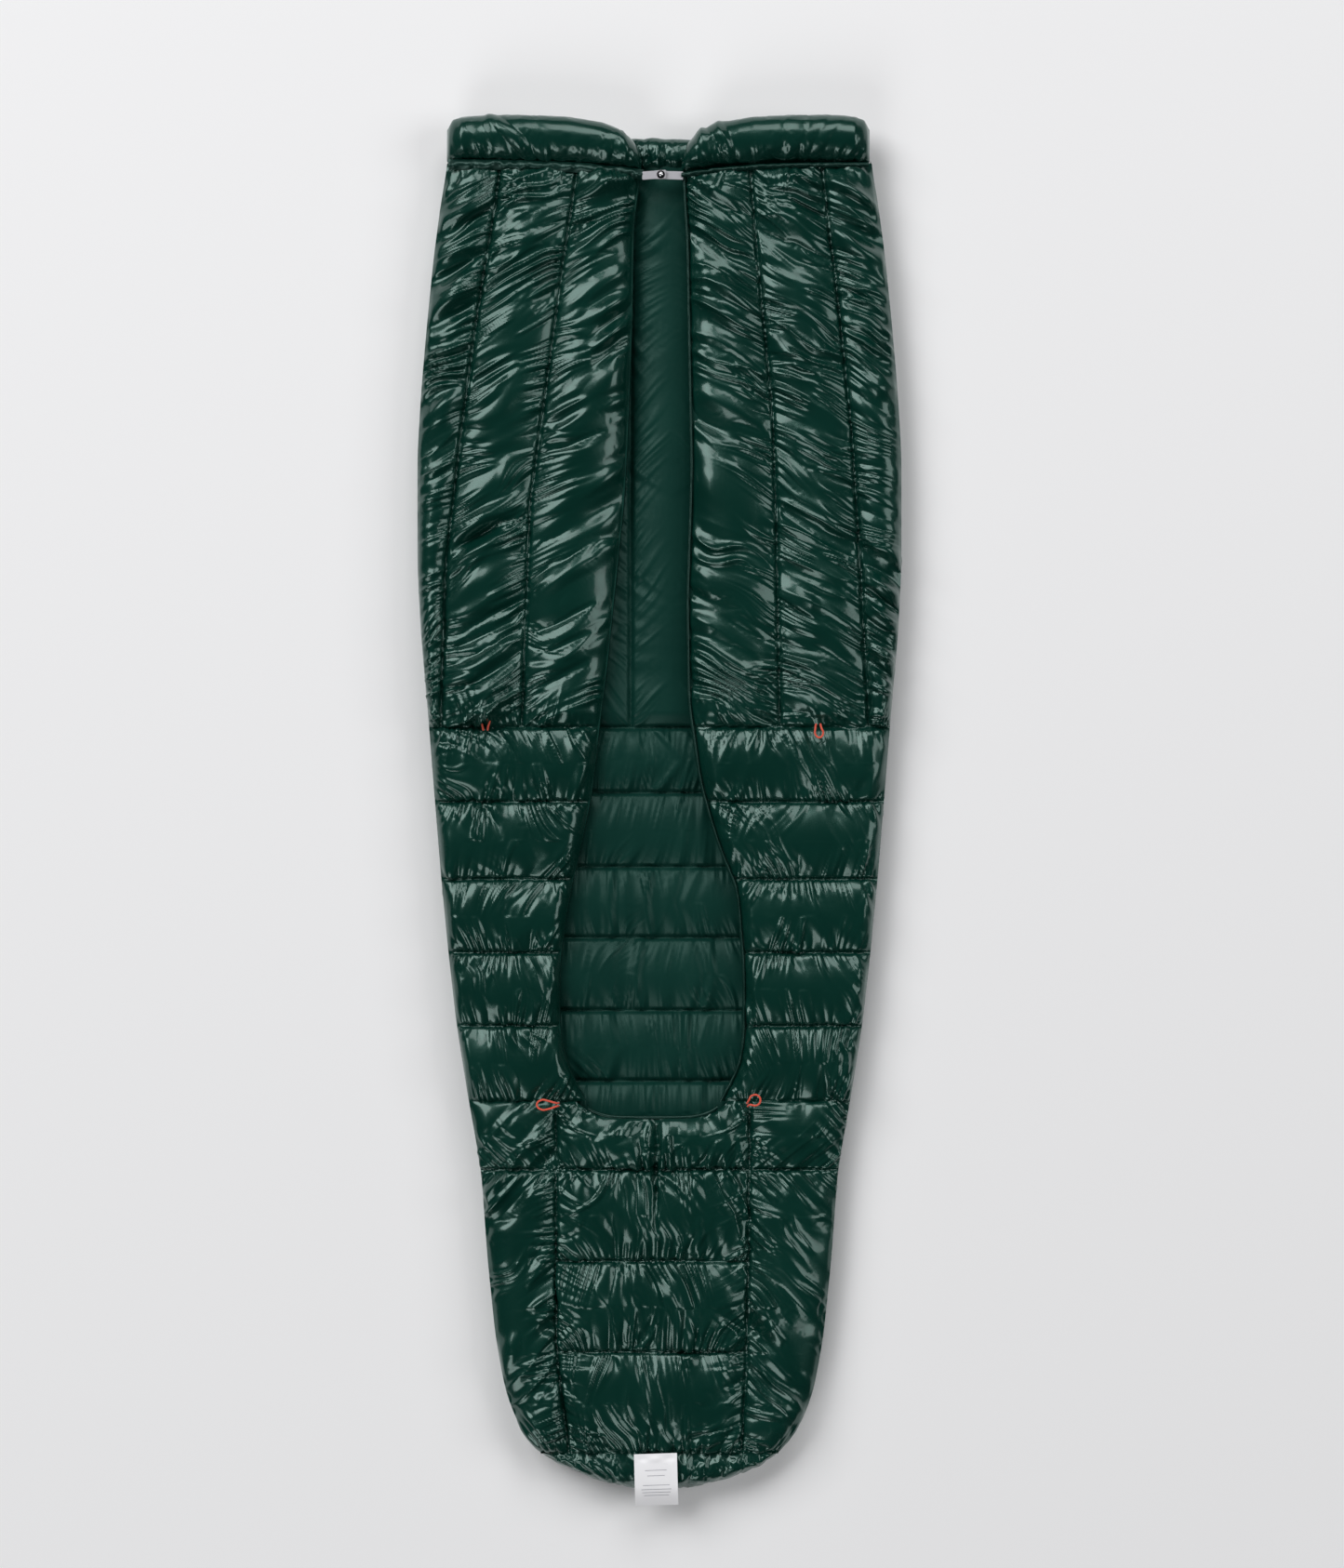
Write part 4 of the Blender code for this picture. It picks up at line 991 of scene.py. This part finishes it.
def tape_tab(name, node, x0, x1, body, tilt):
    """A tab with rounded edges; its free end is folded under and a little wider round the stud."""
    low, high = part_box(node)
    thick = high.z - low.z
    lengths = np.linspace(0, 1, 40)
    x = x0 + (x1 - x0) * lengths
    ring = np.linspace(0, 2 * math.pi, 25)
    half = TAPE_WIDTH / 2 * (1 + groove(x - STUD_X, 0.05, 0.006))
    across = np.sign(np.cos(ring)) * np.abs(np.cos(ring)) ** 0.35
    height = np.sign(np.sin(ring)) * np.abs(np.sin(ring)) ** 0.6
    middle = (low.y + high.y) / 2 - MIDDLE_Y
    end = np.clip(np.minimum(lengths, 1 - lengths) / 0.03, 0, 1) ** 0.5
    y = middle + across[:, None] * half[None, :] * (0.9 + 0.1 * end)[None, :]
    y = y + tilt * (x - STUD_X)[None, :]
    z = (low.z + high.z) / 2 + height[:, None] * (thick / 2 * (0.25 + 0.75 * end))[None, :]
    tab = sheet_piece(name, np.stack([x[None, :] + 0 * y, y, z], -1), webbing.material, flip=True)
    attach(tab, body)
    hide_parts(node)


tape_tab("upper_tab", "snap_tab_upper", -0.0235, 0.0090, "snap_tab", 0.07)
tape_tab("lower_tab", "snap_tab_lower", -0.0065, 0.0325, "right_flap", -0.03)


def metal(name, colour, roughness):
    """Plated metal with a fine grain."""
    finish = Finish(name, {"Metallic": 1.0})
    grain = finish.texture("Noise", Scale=900.0)
    finish.colour(grain, [c * 0.85 for c in colour], colour)
    finish.roughness(grain, roughness * 0.8, roughness * 1.3)
    return finish.material


bright_metal = metal("bright_nickel", (0.80, 0.80, 0.82), 0.18)
dark_metal = metal("dark_nickel", (0.010, 0.010, 0.012), 0.30)


def turned_piece(name, profile, centre, material, body):
    """A turned metal part: a smooth profile of (radius, z) spun about a vertical line."""
    angle = np.linspace(0, 2 * math.pi, 49)
    radius = np.array([r for r, z in profile])
    height = np.array([z for r, z in profile])
    x = centre[0] + radius[:, None] * np.cos(angle)[None, :]
    y = centre[1] - MIDDLE_Y + radius[:, None] * np.sin(angle)[None, :]
    z = height[:, None] + 0 * x
    piece = sheet_piece(name, np.stack([x, y, z], -1), material, flip=True)
    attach(piece, body)
    return piece


low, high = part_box("snap_cap")
snap_centre = ((low.x + high.x) / 2, (low.y + high.y) / 2)
tab_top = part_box("snap_tab_upper")[1].z
RING_INNER, RING_WIDTH, RING_HEIGHT = 0.0034, 0.0021, 0.0011
CAP_RADIUS, CAP_HEIGHT = 0.0037, 0.0030
ring_profile = [(RING_INNER + RING_WIDTH * (0.5 - 0.5 * math.cos(a)),
                 tab_top + 0.0002 + RING_HEIGHT * math.sin(a) ** 0.8)
                for a in np.linspace(0.01, math.pi - 0.01, 14)]
turned_piece("cap_ring", ring_profile, snap_centre, dark_metal, "snap_tab")
cap_profile = [(0.0036, tab_top + 0.0003)]
cap_profile += [(CAP_RADIUS * math.cos(a), tab_top + 0.0008 + CAP_HEIGHT * math.sin(a))
                for a in np.linspace(0, 1.55, 12)]
cap_ball = turned_piece("cap_ball", cap_profile, snap_centre, bright_metal, "snap_tab")
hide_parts("snap_cap")
for node, material in (("snap_socket", dark_metal), ("snap_stud", bright_metal)):
    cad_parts[node].data.materials.clear()
    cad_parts[node].data.materials.append(material)


# ---------------------------------------------------------------- cord loops
# Orange-red braided cord, 2.8 mm thick, sewn down at both ends: one loop at each waist seam and one at each
# corner of the keyhole, for tying the quilt to a pad.

CORD = 0.0028
cord_braid = Finish("orange_braid", {"Roughness": 0.55, "Sheen Weight": 0.3})
braid = cord_braid.texture("Wave", "DIAGONAL", Scale=300.0, Distortion=2.0)
cord_braid.colour(braid, (0.62, 0.055, 0.025), (0.86, 0.115, 0.055))
cord_braid.relief(braid.outputs["Fac"], 0.5, 0.0004)


def cord_loop(node, outline, turn, root):
    """A loop that follows the outline from one sewn end round to the other. Root says where its seam is, as
    shares of the node's own box."""
    low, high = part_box(node)
    curve = bpy.data.curves.new(f"{node}_cord", "CURVE")
    curve.dimensions = "3D"
    curve.bevel_depth = CORD / 2
    curve.bevel_resolution = 4
    curve.resolution_u = 8
    spline = curve.splines.new("BEZIER")
    spline.bezier_points.add(len(outline) - 1)
    c, s = math.cos(turn), math.sin(turn)
    for point, (px, py, pz) in zip(spline.bezier_points, outline):
        point.co = (px * c - py * s, px * s + py * c, pz)
        point.handle_left_type = point.handle_right_type = "AUTO"
    cord = bpy.data.objects.new(f"{node}_cord", curve)
    across, along = (high.x - low.x) * root[0], (high.y - low.y) * root[1]
    cord.location = (low.x + across, low.y + along, (low.z + high.z) / 2)
    bpy.context.scene.collection.objects.link(cord)
    curve.materials.append(cord_braid.material)
    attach(cord, node)
    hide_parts(node)


HORSESHOE = [
    (-0.0030, -0.004, -0.006), (-0.0042, 0.002, -0.001), (-0.0058, 0.0085, 0.0), (0.0, 0.0150, 0.0),
    (0.0058, 0.0085, 0.0), (0.0042, 0.002, -0.001), (0.0030, -0.004, -0.006)]
D_SHAPE = [
    (-0.0040, 0.004, -0.006), (-0.0050, -0.001, -0.001), (-0.0050, -0.0105, 0.0), (0.0010, -0.0145, 0.0),
    (0.0055, -0.0085, 0.0), (0.0030, -0.001, -0.001), (0.0020, 0.004, -0.006)]
TEARDROP = [
    (0.004, -0.0020, -0.006), (0.001, -0.0022, -0.001), (-0.010, -0.0058, 0.0), (-0.0200, -0.0065, 0.0),
    (-0.0260, 0.0, 0.0), (-0.0200, 0.0065, 0.0), (-0.010, 0.0052, 0.0), (0.001, 0.0022, -0.001),
    (0.004, 0.0020, -0.006)]
ROUND = [
    (-0.006, -0.003, -0.006), (-0.002, -0.0025, -0.001), (0.005, -0.0072, 0.0), (0.0125, -0.0050, 0.0),
    (0.0135, 0.0035, 0.0), (0.0060, 0.0075, 0.0), (-0.001, 0.0035, -0.001), (-0.005, 0.001, -0.006)]
cord_loop("loop_waist_left", HORSESHOE, 0.0, (0.5, 0.0))
cord_loop("loop_waist_right", D_SHAPE, 0.0, (0.5, 1.0))
cord_loop("loop_foot_left", TEARDROP, 0.0, (1.0, 0.5))
cord_loop("loop_foot_right", ROUND, 0.5, (0.0, 0.5))


# ---------------------------------------------------------------- care label
# A strip of white satin sewn into the foot-end seam by its short edge. It hangs over the foot end, with a
# soft curl, and carries plain grey bars where the care text would be.

satin = Finish("label_satin", {"Roughness": 0.38, "Sheen Weight": 0.3, "Anisotropic": 0.4})
sheen = satin.texture("Noise", Scale=60.0)
satin.colour(sheen, (0.93, 0.93, 0.96), (0.98, 0.98, 1.00))
satin.relief(sheen.outputs["Fac"], 0.15, 0.0005)

LABEL_ROWS = 50
low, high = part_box("care_label")
lengths, widths = np.linspace(0, 1, LABEL_ROWS)[:, None], np.linspace(-1, 1, 40)[None, :]
label_width, label_length = high.x - low.x, high.y - low.y
x = (low.x + high.x) / 2 + widths * label_width / 2 + 0.002 * lengths
y = high.y - MIDDLE_Y - lengths * label_length + 0.001 * widths
droop = 0.010 * np.clip((lengths - 0.62) / 0.38, 0, 1) ** 1.6
z = high.z + 0.0012 + 0.0035 * np.sin(lengths * math.pi * 1.1) - droop
z = z + groove(lengths - 0.10, 0.0016, 0.05) * np.cos(widths * 5) + 0.0012 * widths ** 2 * lengths
label_points = np.stack([x + 0 * z, y + 0 * z, z], -1)
care_label = sheet_piece("label_strip", label_points, satin.material)
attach(care_label, "care_label")
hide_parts("care_label")

ink = Finish("label_print", {"Roughness": 0.6})
ink.colour(ink.texture("Noise", Scale=1500.0), (0.30, 0.30, 0.34), (0.48, 0.48, 0.52))
BARS = [(0.30, 0.50), (0.40, 0.40), (0.58, 0.62), (0.66, 0.70), (0.72, 0.66), (0.78, 0.58)]
BAR_HEIGHT = 0.010
PRINT_THICK = 0.0002
for number, (down_share, bar_width) in enumerate(BARS):
    rows_cut = np.linspace(down_share, down_share + BAR_HEIGHT, 3) * (LABEL_ROWS - 1)
    columns_cut = np.linspace(-bar_width, bar_width, 30)
    grid = np.zeros((len(rows_cut), len(columns_cut), 3))
    for k, at in enumerate(rows_cut):
        above = int(at)
        line = label_points[above] * (1 - (at - above)) + label_points[above + 1] * (at - above)
        for axis in range(3):
            grid[k, :, axis] = np.interp(columns_cut, widths[0], line[:, axis])
    grid[..., 2] += PRINT_THICK
    bar = sheet_piece(f"label_bar_{number + 1}", grid, ink.material)
    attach(bar, "care_label")
